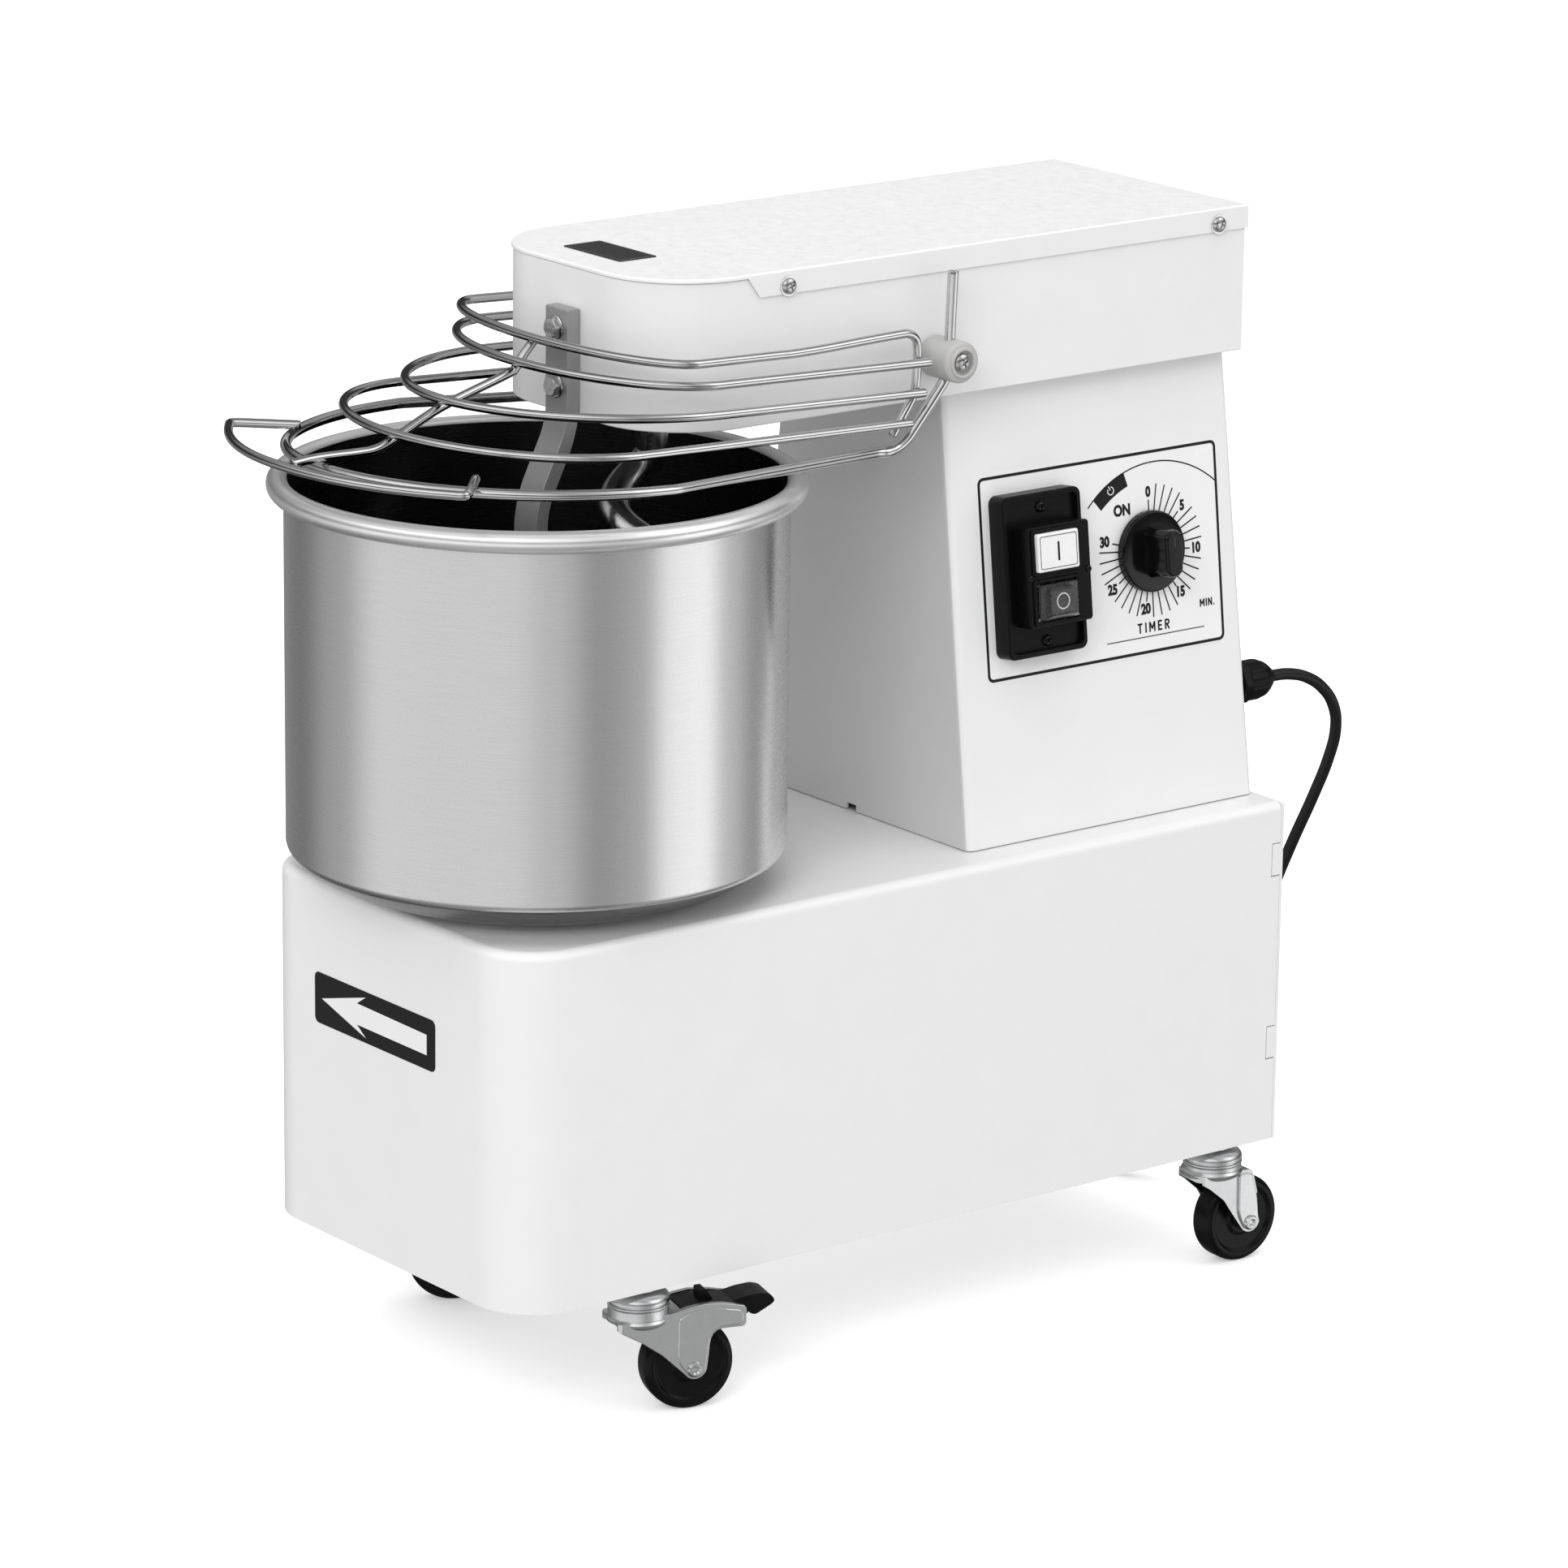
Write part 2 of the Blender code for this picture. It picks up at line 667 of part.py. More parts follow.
def bowl():
    """Thin turned bowl: flat bottom, short cone, straight wall and a rolled rim."""
    inner = BOWL_RADIUS - BOWL_WALL
    floor = BOWL_BOTTOM + BOWL_WALL
    rim_low = math.asin((BOWL_RIM_RADIUS - BOWL_RADIUS) / BOWL_RIM_TUBE)
    profile = [(0.0, floor), (BOWL_FOOT_RADIUS - 0.0025, floor), (BOWL_FOOT_RADIUS, floor + 0.0005)]
    profile += [(inner - 0.0012, BOWL_CORNER_Z + 0.0006), (inner, BOWL_CORNER_Z + 0.0022)]
    turn_in = math.degrees(pi - math.acos((BOWL_RIM_RADIUS - inner) / BOWL_RIM_TUBE))
    turn_out = -90.0 - math.degrees(rim_low)
    profile += arc((BOWL_RIM_RADIUS, BOWL_RIM_Z), BOWL_RIM_TUBE, turn_in, turn_out, 8)
    profile += [(BOWL_RADIUS, BOWL_CORNER_Z + 0.0010), (BOWL_RADIUS - 0.0009, BOWL_CORNER_Z - 0.0002)]
    profile += [(BOWL_FOOT_RADIUS + 0.0010, BOWL_BOTTOM + 0.0004), (BOWL_FOOT_RADIUS - 0.0010, BOWL_BOTTOM)]
    profile += [(0.0, BOWL_BOTTOM)]
    made = turned("bowl", profile, stainless(), steps=48)
    made.location = (0.0, BOWL_Y, 0.0)
    return made


def bowl_shaft():
    """Flange under the bowl and the shaft down to its sprocket."""
    top = BOWL_BOTTOM - GAP
    flange = top - 0.0035
    profile = [(0.0, top), (0.045, top), (0.045, flange), (BOWL_SHAFT_RADIUS, flange)]
    profile += [(BOWL_SHAFT_RADIUS, DRIVE_SHAFT_BOTTOM), (0.0, DRIVE_SHAFT_BOTTOM)]
    made = turned("bowl_shaft", profile, steel(), steps=24)
    made.location = (0.0, BOWL_Y, 0.0)
    return made


def bearing_housing(name, place, bore, flange, hub, levels):
    """Turned housing: levels are the flange's far and near side and the hub's end, from the sheet on."""
    near, far, end = levels
    profile = [(hub, max(far, end)), (hub, min(far, end))]
    if near > end:
        profile = [(bore, near), (flange, near), (flange, far), (hub, far), (hub, end), (bore, end)]
    else:
        profile = [(bore, end), (hub, end), (hub, far), (flange, far), (flange, near), (bore, near)]
    made = turned(name, profile, cast_metal(), steps=24, closed=True)
    made.location = (0.0, place, 0.0)
    return made


def tooth_outline(teeth):
    """Outline of a chain wheel: flat-topped teeth between tip and root circles."""
    root = PITCH / sin(pi / teeth) / 2 - 0.0032
    tip = tip_radius(teeth)
    points = []
    for tooth in range(teeth):
        centre = 2 * pi * tooth / teeth
        pitch = 2 * pi / teeth
        for radius, share in ((root, -0.30), (tip, -0.10), (tip, 0.10), (root, 0.30)):
            angle = centre + share * pitch
            points.append((radius * cos(angle), radius * sin(angle)))
    return points


def tip_radius(teeth):
    return PITCH * (0.6 + 1 / math.tan(pi / teeth)) / 2


def sprocket(name, teeth, bore, y, level):
    made = plate(
        name,
        [tooth_outline(teeth), circle((0.0, 0.0), bore + 2 * GAP, 20)],
        level - SPROCKET_WIDTH / 2,
        level + SPROCKET_WIDTH / 2,
        steel(),
    )
    made.location = (0.0, y, 0.0)
    return made


def loop_outline(front, rear, radius_front, radius_rear, count=32):
    """Open-belt outline round two circles whose centres are on the Y axis."""
    lean = math.degrees(math.asin((radius_front - radius_rear) / (rear - front)))
    around_front = arc((0.0, front), radius_front, 180.0 - lean, 360.0 + lean, count)
    around_rear = arc((0.0, rear), radius_rear, lean, 180.0 - lean, count)
    return around_front + around_rear


def chain(name, front, rear, teeth_front, teeth_rear, level):
    """Roller chain drawn as one band that rides just outside the teeth."""
    inside = [tip_radius(t) + 0.0006 for t in (teeth_front, teeth_rear)]
    outline = loop_outline(front, rear, inside[0] + 0.004, inside[1] + 0.004)
    hole = loop_outline(front, rear, inside[0], inside[1])
    return plate(name, [outline, hole], level - CHAIN_WIDTH / 2, level + CHAIN_WIDTH / 2, steel())


def drive_shaft():
    ends = ((0.0, 0.0, DRIVE_SHAFT_BOTTOM), (0.0, 0.0, DRIVE_SHAFT_TOP))
    made = rod("drive_shaft", DRIVE_SHAFT_RADIUS, *ends, steel(), sides=20)
    made.location = (0.0, DRIVE_Y, 0.0)
    return made


def gearbox():
    """Reduction gearbox under the top of the base; the motor stands on it."""
    top = BASE_TOP - SHEET - GAP
    body = box("gearbox", (-0.058, 0.0830, GEARBOX_BOTTOM), (0.058, 0.2520, top - 0.004), cast_metal(), edge=0.004)
    join(body, box("gearbox_flange", (-0.066, 0.0780, top - 0.010), (0.066, 0.2560, top), None))
    low = GEARBOX_BOTTOM - OVERCUT
    cut(body, rod("gearbox_bore", DRIVE_SHAFT_RADIUS + 2 * GAP, (0, DRIVE_Y, low), (0, DRIVE_Y, top + OVERCUT), None))
    cut(body, rod("motor_bore", 0.0085, (0, MOTOR_Y, top - 0.025), (0, MOTOR_Y, top + OVERCUT), None))
    return body


def motor():
    """Upright motor: shaft end, ribbed body and fan cover."""
    low = BASE_TOP - SHEET
    ribs = []
    count = 20
    for rib in range(count):
        for share, radius in ((-0.25, MOTOR_RADIUS - 0.004), (-0.2, MOTOR_RADIUS), (0.2, MOTOR_RADIUS)):
            angle = 2 * pi * (rib + share) / count
            ribs.append((radius * cos(angle), radius * sin(angle)))
        angle = 2 * pi * (rib + 0.25) / count
        ribs.append(((MOTOR_RADIUS - 0.004) * cos(angle), (MOTOR_RADIUS - 0.004) * sin(angle)))
    body = plate("motor", [ribs], low + 0.012, MOTOR_TOP - 0.030, cast_metal())
    foot = [(0.0, low + 0.014), (0.046, low + 0.014), (0.046, low), (0.008, low)]
    foot += [(0.008, low - 0.020), (0.0, low - 0.020)]
    join(body, turned("motor_foot", foot, None, steps=24))
    cover = [(0.0, MOTOR_TOP), (0.034, MOTOR_TOP), (0.045, MOTOR_TOP - 0.008)]
    cover += [(0.045, MOTOR_TOP - 0.032), (0.0, MOTOR_TOP - 0.032)]
    join(body, turned("motor_fan_cover", cover, None, steps=24))
    place_with_operands(body, (0.0, MOTOR_Y, 0.0))
    return body


def place_with_operands(thing, location, rotation=(0.0, 0.0, 0.0)):
    """Move an object and everything its Booleans use, all modelled at the origin."""
    for modifier in thing.modifiers:
        if modifier.type == "BOOLEAN":
            modifier.object.parent = thing
    thing.location = location
    thing.rotation_euler = rotation


# ------------------------------------------------------------------ spiral and breaker bar


def hook_points():
    """Centre line: straight shaft, then a helix that opens out and closes a little at its end."""
    points = [(0.0, 0.0, SPIRAL_SHAFT_TOP), (0.0, 0.0, SPIRAL_HOOK_TOP + 0.010)]
    count = 46
    drop = SPIRAL_HOOK_TOP - SPIRAL_BOTTOM
    for i in range(count + 1):
        fallen = drop * i / count
        opening = min(1.0, fallen / SPIRAL_OPENING_DROP)
        radius = SPIRAL_RADIUS * (1 - cos(pi * opening)) / 2
        closing = max(0.0, (fallen / drop - 0.75) / 0.25)
        radius -= 0.008 * closing**2
        angle = SPIRAL_START + SPIRAL_TURN * fallen / drop
        points.append((radius * cos(angle), radius * sin(angle), SPIRAL_HOOK_TOP - fallen))
    return points


def spiral_hook():
    made = wire("spiral_hook", hook_points(), SPIRAL_BAR, stainless(), resolution=3)
    made.location = (0.0, SPIRAL_Y, 0.0)
    return made


def breaker_bar():
    """Flat bar bolted to the head: it jogs forward, then hangs down the middle of the bowl."""
    back = HEAD_FRONT - GAP
    face = back - BAR_THICKNESS
    outline = [
        (back, BAR_TOP),
        (face, BAR_TOP),
        (face, BAR_JOG_TOP + 0.002),
        (face - BAR_JOG, BAR_JOG_BOTTOM + 0.002),
        (face - BAR_JOG, BAR_BOTTOM),
        (back - BAR_JOG, BAR_BOTTOM),
        (back - BAR_JOG, BAR_JOG_BOTTOM),
        (back, BAR_JOG_TOP),
    ]
    half = BAR_WIDTH / 2
    bar = plate("breaker_bar", [outline], BAR_X - half, BAR_X + half, stainless(), turn=side_plane())
    rounded(bar, 0.0010, segments=2, angle=60.0)
    for level in BOLT_HEIGHTS:
        start = (BAR_X, face - OVERCUT, level)
        end = (BAR_X, back + OVERCUT, level)
        cut(bar, rod("bar_hole", BOLT_RADIUS + GAP, start, end, None))
    return bar


def breaker_bolt(name, level):
    """Hexagon bolt through bar and head wall."""
    face = HEAD_FRONT - GAP - BAR_THICKNESS - GAP
    corner = BOLT_HEAD_ACROSS / math.sqrt(3)
    head = rod(name, corner, (BAR_X, face, level), (BAR_X, face - BOLT_HEAD, level), steel(), sides=6)
    shank = ((BAR_X, face - 0.002, level), (BAR_X, HEAD_FRONT + 0.010, level))
    return join(head, rod(name + "_shank", BOLT_RADIUS, *shank, None))


# ------------------------------------------------------------------ guard


def hoop_points(level, half, centre, depth, rear_half, rear):
    """U-shaped hoop: half an ellipse in front, legs that run back to rear."""
    count = 16
    front = [(half * cos(a), centre - depth * sin(a)) for a in (pi * i / count for i in range(count + 1))]
    legs = 2
    right = [
        (rear_half + (half - rear_half) * i / legs, rear + (centre - rear) * i / legs) for i in range(legs)
    ]
    left = [(-x, y) for x, y in reversed(right)]
    return [(x, y, level) for x, y in right + front + left]


def guard_hoop(number, frame):
    level, half, centre, depth, rear_half = HOOPS[number - 1]
    radius = MAIN_WIRE if number == 5 else WIRE
    points = hoop_points(level, half, centre, depth, rear_half, HOOP_REARS[number - 1])
    if number == 5:
        points = [(x, y, z - left_sag(x) * min(1.0, max(0.0, 1.5 * (centre - y) / depth))) for x, y, z in points]
    if number in (1, 5):
        tail = inner_tail() if number == 1 else main_tail()
        points = tail + points + [(-x, y, z) for x, y, z in reversed(tail)]
    return wire(f"guard_hoop_{number}", points, radius, chrome(), frame)


def inner_tail():
    """Right end of hoop 1, from its cut end: slanted part, upright part and bend into the leg."""
    x = MAIN_WIRE_X
    level = HOOPS[0][0]
    return [
        (x, -0.0365, -0.0370),
        (x, -0.0245, -0.0185),
        (x, -0.0225, -0.0130),
        (x, -0.0220, 0.0020),
        (x, -0.0228, level - 0.0020),
        (x, -0.0250, level + 0.0018),
        (x + 0.0002, -0.0295, level + 0.0038),
        (x + 0.0005, -0.0360, level + 0.0038),
        (x + 0.0012, -0.0580, level + 0.0026),
        (x + 0.0020, -0.0860, level + 0.0008),
    ]


def main_tail():
    """Right end of hoop 5: upright stub, through the bush, slanted part and bend into the leg."""
    x = MAIN_WIRE_X
    level = HOOPS[4][0]
    return [
        (x, -0.0010, 0.0470),
        (x, -0.0010, 0.0045),
        (x, 0.0003, -0.0050),
        (x, -0.0216, -0.0337),
        (x, -0.0275, -0.0402),
        (x, -0.0335, -0.0438),
        (x + 0.0008, -0.0400, level),
    ]


def rib_points():
    """Front rib on the plane x = 0: under hoops 2 to 4, over hoop 5, up to the handle."""
    side = [
        (-0.2034, 0.0068),
        (-0.2086, -0.0034),
        (-0.2142, -0.0060),
        (-0.2552, -0.0202),
        (-0.2846, -0.0346),
        (-0.2950, -0.0382),
        (-0.3050, HANDLE_LEVEL + 0.0002),
        (-0.3290, HANDLE_LEVEL - 0.0002),
        (-0.3446, HANDLE_LEVEL - 0.0018),
    ]
    return [(0.0, y, z) for y, z in side]


def left_sag(x):
    """The front of the guard hangs a little lower on its left side."""
    return LEFT_SAG * min(1.0, max(0.0, -x / HANDLE_HALF))


def handle_points():
    """Handle wire: two short ends on hoop 5 and a shallow arc in front of it, sloping down forward."""
    corner = -0.3125
    rise = corner - HANDLE_FRONT
    radius = (HANDLE_HALF**2 + rise**2) / (2 * rise)
    reach = math.degrees(math.asin((HANDLE_HALF - 0.004) / radius))
    bow = arc((0.0, HANDLE_FRONT + radius), radius, 270.0 + reach, 270.0 - reach, 14)
    right = [(0.0775, HANDLE_REAR), (HANDLE_HALF - 0.003, corner + 0.0045), (HANDLE_HALF - 0.0008, corner - 0.0005)]
    left = [(-x, y) for x, y in reversed(right)]
    return [(x, y, HANDLE_LEVEL - left_sag(x) - HANDLE_SLOPE * (HANDLE_REAR - y)) for x, y in right + bow + left]


def guard_bush(name, side, frame):
    """Nylon pivot bush: bored for its pin and for the main wire that crosses it."""
    length = BUSH_OUTER - BUSH_INNER
    profile = [(0.0, 0.0), (0.0070, 0.0), (0.0075, -0.0010), (0.0096, -0.0012), (BUSH_RADIUS, -0.0030)]
    profile += [(BUSH_RADIUS, -length + 0.0020), (0.0095, -length), (0.0, -length)]
    bush = turned(name, profile, nylon(), frame, steps=24)
    depth = PIN_END + GAP - BUSH_INNER
    bore = ((0.0, 0.0, -length - OVERCUT), (0.0, 0.0, -length + depth))
    cut(bush, rod(name + "_bore", PIN_RADIUS + GAP, *bore, None))
    bush.location = (side * BUSH_OUTER, 0.0, 0.0)
    bush.rotation_euler = (0.0, side * pi / 2, 0.0)
    bush.modifiers[name + "_bore"].object.parent = bush
    path = [(side * x, y, z) for x, y, z in main_tail()]
    cut(bush, wire(name + "_channel", path, MAIN_WIRE + GAP, None, frame))
    return bush


def guard_pin(name, side):
    """Pivot pin with its nut inside the head."""
    inner = HEAD_HALF_WIDTH - SHEET - GAP
    profile = [(0.0, PIN_END), (PIN_RADIUS, PIN_END), (PIN_RADIUS, inner)]
    profile += [(0.0075, inner), (0.0075, inner - 0.0060), (0.0, inner - 0.0060)]
    pin = turned(name, profile, steel(), steps=16)
    pin.location = (0.0, GUARD_Y, GUARD_Z)
    pin.rotation_euler = (0.0, side * pi / 2, 0.0)
    return pin


def guard():
    frame = empty("guard_pivot", (0.0, GUARD_Y, GUARD_Z), (GUARD_TILT, 0.0, 0.0))
    for number in range(1, len(HOOPS) + 1):
        guard_hoop(number, frame)
    wire("guard_rib", rib_points(), WIRE, chrome(), frame)
    wire("guard_handle", handle_points(), WIRE, chrome(), frame)
    for name, side in (("right", 1), ("left", -1)):
        guard_bush(f"guard_bush_{name}", side, frame)
        guard_pin(f"guard_pivot_pin_{name}", side)


# ------------------------------------------------------------------ control panel


def panel_frame(name):
    return empty(name, (PANEL_X, PANEL_Y, PANEL_Z), (0.0, -COLUMN_LEAN, 0.0))


def centred(depth_low, depth_high, centre, size):
    """Corners of a block on the panel: depth along X, centre and size across."""
    low = (depth_low, centre[0] - size[0] / 2, centre[1] - size[1] / 2)
    high = (depth_high, centre[0] + size[0] / 2, centre[1] + size[1] / 2)
    return low, high


def switch_housing(frame):
    """Switch box: plate on the panel, raised block with two wells, body behind the panel."""
    centre = (SWITCH_Y, SWITCH_Z)
    face = SWITCH_PLATE[0]
    top = face + SWITCH_BLOCK[0]
    body = box("switch_housing", *centred(GAP, face, centre, SWITCH_PLATE[1:]), black_plastic(), frame, 0.0035)
    join(body, box("switch_block", *centred(face - 0.003, top, centre, SWITCH_BLOCK[1:]), None, frame, 0.0015))
    join(body, box("switch_back", *centred(-SWITCH_BACK[0], 0.002, centre, SWITCH_BACK[1:]), None, frame))
    for name, offset in (("start", START_Z), ("stop", STOP_Z)):
        well = (BUTTON_SIZE[0] + 2 * GAP, BUTTON_SIZE[1] + 2 * GAP)
        spot = (SWITCH_Y, SWITCH_Z + offset)
        cut(body, box(f"{name}_well", *centred(WELL_FLOOR, top + OVERCUT, spot, well), None, frame))
    return body


def start_button(frame):
    """Flat push button, its origin at the centre of its well."""
    top = SWITCH_PLATE[0] + SWITCH_BLOCK[0] + 0.0022
    spot = empty("start_axis", (0.0, SWITCH_Y, SWITCH_Z + START_Z), parent=frame)
    low = WELL_FLOOR + BUTTON_TRAVEL + 2 * GAP
    return box("start_button", *centred(low, top, (0.0, 0.0), BUTTON_SIZE), white_plastic(), spot, 0.0008)


def stop_button(frame):
    """Push button under a clear cover with four sloping sides."""
    face = SWITCH_PLATE[0] + SWITCH_BLOCK[0]
    spot = empty("stop_axis", (0.0, SWITCH_Y, SWITCH_Z + STOP_Z), parent=frame)
    low = WELL_FLOOR + BUTTON_TRAVEL + 2 * GAP
    shape = bmesh.new()
    bmesh.ops.create_cube(shape, size=1.0)
    bmesh.ops.bisect_plane(shape, geom=shape.faces[:] + shape.edges[:] + shape.verts[:], plane_co=(0.1, 0, 0), plane_no=(1, 0, 0))
    for corner in shape.verts:
        outer = corner.co.x > 0.4
        shrink = 0.62 if outer else 1.0
        corner.co.y *= BUTTON_SIZE[0] * shrink
        corner.co.z *= BUTTON_SIZE[1] * shrink
        corner.co.x = low if corner.co.x < 0 else (face + 0.0048 if outer else face + 0.0005)
    return object_of(shape, "stop_button", grey_plastic(), spot)


def timer_knob(frame):
    """Round knob with a bar grip, turning about its shaft."""
    spot = empty("timer_axis", (0.0, KNOB_Y, KNOB_Z), (0.0, pi / 2, 0.0), frame)
    profile = [(0.0, KNOB_DISC), (KNOB_RADIUS - 0.002, KNOB_DISC), (KNOB_RADIUS, KNOB_DISC - 0.0012)]
    profile += [(KNOB_RADIUS, 0.0006), (0.0, 0.0006)]
    knob = turned("timer_knob", profile, black_plastic(), spot, steps=32)
    grip = [(-0.013, -0.004), (-0.010, -0.007), (0.010, -0.007), (0.013, -0.004)]
    grip += [(-x, -y) for x, y in grip]
    join(knob, plate("knob_grip", [grip], KNOB_DISC - 0.002, KNOB_DEPTH, None, spot))
    cut(knob, rod("knob_bore", TIMER_SHAFT + GAP, (0, 0, -OVERCUT), (0, 0, 0.0145), None, spot))
    return knob


def timer_body(frame):
    """Clockwork timer behind the panel, its shaft through the panel into the knob."""
    depth, width, height = TIMER_BODY
    back = -SHEET - GAP
    corners = centred(back - depth, back, (KNOB_Y, KNOB_Z), (width, height))
    body = box("timer_body", *corners, black_plastic(), frame)
    shaft = ((back - 0.005, KNOB_Y, KNOB_Z), (0.0142, KNOB_Y, KNOB_Z))
    return join(body, rod("timer_shaft", TIMER_SHAFT, *shaft, None, frame))


def control_panel():
    frame = panel_frame("panel")
    switch_housing(frame)
    start_button(frame)
    stop_button(frame)
    timer_knob(frame)
    timer_body(frame)


def guard_microswitch():
    """Interlock switch inside the head, above the left pivot pin."""
    inner = -(HEAD_HALF_WIDTH - SHEET - GAP)
    low = (inner, GUARD_Y - 0.014, GUARD_Z + 0.0095)
    high = (inner + 0.010, GUARD_Y + 0.014, GUARD_Z + 0.0265)
    return box("guard_microswitch", low, high, black_plastic(), edge=0.001)


# ------------------------------------------------------------------ castors


def castor_race(name, place):
    """Stem through the floor plate and the fixed cap of the ball race."""
    profile = [(0.0, 0.016), (0.005, 0.016), (0.005, 0.0), (0.0095, 0.0), (0.0095, -0.0018)]
    profile += [(0.0138, -0.0026), (RACE_RADIUS, -0.0052), (RACE_RADIUS, RACE_BOTTOM), (0.0, RACE_BOTTOM)]
    return turned(name, profile, zinc(), place, steps=24)


def axle_boss(trail):
    """Rounded lower end of the fork's side, from its rear to its front."""
    return arc((trail + 0.0005, AXLE_Z + 0.0009), FORK_BOSS, -15.0, -145.0, 5)


def plain_outline():
    """Side of the plain fork seen square to the wheel: x along the trail, y upward."""
    rear = [(-0.0182, -0.0140), (0.0074, -0.0137), (0.0178, -0.0141), (0.0221, -0.0299)]
    front = [(0.0051, -0.0381), (-0.0006, -0.0295), (-0.0099, -0.0217), (-0.0182, -0.0164)]
    return rear + axle_boss(PLAIN_TRAIL) + front


def braked_outline():
    """Side of the braked fork, which reaches back round the pedal."""
    top = [(-0.0155, -0.0160), (0.0144, -0.0129), (0.0230, -0.0108), (0.0315, -0.0097), (0.0423, -0.0107)]
    back = [(0.0542, -0.0130), (0.0548, -0.0216), (0.0522, -0.0243), (0.0414, -0.0242)]
    rear = [(0.0376, -0.0254), (0.0352, -0.0288), (0.0340, -0.0372)]
    front = [(0.0081, -0.0351), (-0.0037, -0.0267), (-0.0155, -0.0199)]
    return top + back + rear + axle_boss(BRAKED_TRAIL) + front


def castor_fork(name, frame, brake):
    """Pressed fork with its crown and riveted axle."""
    half = FORK_HALF_WIDTH
    trail = BRAKED_TRAIL if brake else PLAIN_TRAIL
    outline = braked_outline() if brake else plain_outline()
    fork = plate(name, [outline], -half, half, zinc(), frame, Matrix.Rotation(pi / 2, 4, "X"))
    nose = BRAKED_NOSE if brake else PLAIN_NOSE
    swing = math.degrees(math.acos(-half / nose))
    plan = [(0.09, half + OVERCUT)] + arc((0.0, 0.0), nose, swing, 360.0 - swing, 10) + [(0.09, -half - OVERCUT)]
    boolean(fork, plate(name + "_plan", [plan], -0.07, 0.0, None, frame), "INTERSECT")
    top = RACE_BOTTOM - GAP
    low = -0.0152 if brake else -0.0125
    crown = [(0.0, top), (0.0160, top), (0.0160, low), (0.0172, low - 0.0012)]
    crown += [(0.0172, low - 0.0035), (0.0, low - 0.0035)]
    join(fork, turned(name + "_crown", crown, None, frame, steps=24))
    cut(fork, box(name + "_slot", (-0.03, -FORK_SLOT, -0.07), (0.08, FORK_SLOT, WEB_BOTTOM), None, frame))
    if brake:
        low = (PEDAL_SLOT, -FORK_SLOT, -0.03)
        cut(fork, box(name + "_pedal_slot", low, (0.09, FORK_SLOT, 0.0), None, frame))
    ends = ((trail, -AXLE_REACH, AXLE_Z), (trail, AXLE_REACH, AXLE_Z))
    return join(fork, rod(name + "_axle", AXLE_RADIUS, *ends, None, frame, sides=12))


def castor_wheel(name, frame, trail):
    """Wheel bored for the axle, its faces dished; its own axis is local Z."""
    half = WHEEL_HALF_WIDTH
    bore = AXLE_RADIUS + GAP
    profile = [(bore, half), (0.0085, half), (0.0100, half - 0.0015), (0.0178, half - 0.0015)]
    profile += [(0.0193, half), (0.0217, half), (0.0236, half - 0.0009), (WHEEL_RADIUS, half - 0.0028)]
    profile += [(radius, -height) for radius, height in reversed(profile)]
    wheel = turned(name, profile, rubber(), frame, steps=24, closed=True)
    wheel.location = (trail, 0.0, AXLE_Z)
    wheel.rotation_euler = (pi / 2, 0.0, 0.0)
    return wheel


def brake_pedal(name, frame):
    """Pedal between the arms of the fork, wider behind them; its origin is its pivot."""
    x, z = PEDAL_PIVOT
    spot = empty(name + "_pivot", (x, 0.0, z), parent=frame)
    turn = Matrix.Rotation(pi / 2, 4, "X")
    body = [(0.0198, -0.0118), (0.0310, -0.0100), (0.0411, -0.0112), (0.0570, -0.0120), (0.0570, -0.0190)]
    body += [(0.0480, -0.0215), (0.0400, -0.0195), (0.0330, -0.0160), (0.0198, -0.0150)]
    tab = [(0.0318, -0.0052), (0.0355, -0.0050), (0.0405, -0.0125), (0.0318, -0.0125)]
    tread = [(0.0476, -0.0118), (0.0560, -0.0098), (0.0650, -0.0090), (0.0700, -0.0106), (0.0722, -0.0140)]
    tread += [(0.0706, -0.0158), (0.0612, -0.0208), (0.0575, -0.0192), (0.0562, -0.0150)]
    inner = FORK_SLOT - 0.0006
    pedal = plate(name, [[(a - x, b - z) for a, b in body]], -inner, inner, black_plastic(), spot, turn)
    join(pedal, plate(name + "_tab", [[(a - x, b - z) for a, b in tab]], -0.0045, 0.0045, None, spot, turn))
    return join(pedal, plate(name + "_tread", [[(a - x, b - z) for a, b in tread]], -0.0091, 0.0091, None, spot, turn))


def castors():
    for name, x, y, heading, brake in CASTORS:
        frame = empty(f"castor_axis_{name}", (x, y, CASTOR_HEIGHT), (0.0, 0.0, heading))
        castor_race(f"castor_race_{name}", frame)
        castor_fork(f"castor_fork_{name}", frame, brake)
        castor_wheel(f"castor_wheel_{name}", frame, BRAKED_TRAIL if brake else PLAIN_TRAIL)
        if brake:
            brake_pedal(f"brake_pedal_{name}", frame)


# ------------------------------------------------------------------ mains cable


def cable_gland():
    """Gland on the rear of the column: thread, hexagon and domed nut, its axis along +Y."""
    wall = COLUMN_FOOT_REAR - 0.0005
    length = GLAND_END - wall
    profile = [(0.0, 0.0), (0.0052, 0.0), (0.0075, -0.0030), (0.0102, -0.0085), (0.0110, -0.0095)]
    profile += [(0.0110, -length + 0.0055), (0.0120, -length + 0.0050), (0.0120, -length + 0.0004)]
    profile += [(0.0076, -length + 0.0004), (0.0076, -length - 0.0090), (0.0, -length - 0.0090)]
    gland = turned("cable_gland", profile, black_plastic(), steps=24)
    gland.location = (GLAND_X, GLAND_END, GLAND_Z)
    gland.rotation_euler = (-pi / 2, 0.0, 0.0)
    return gland


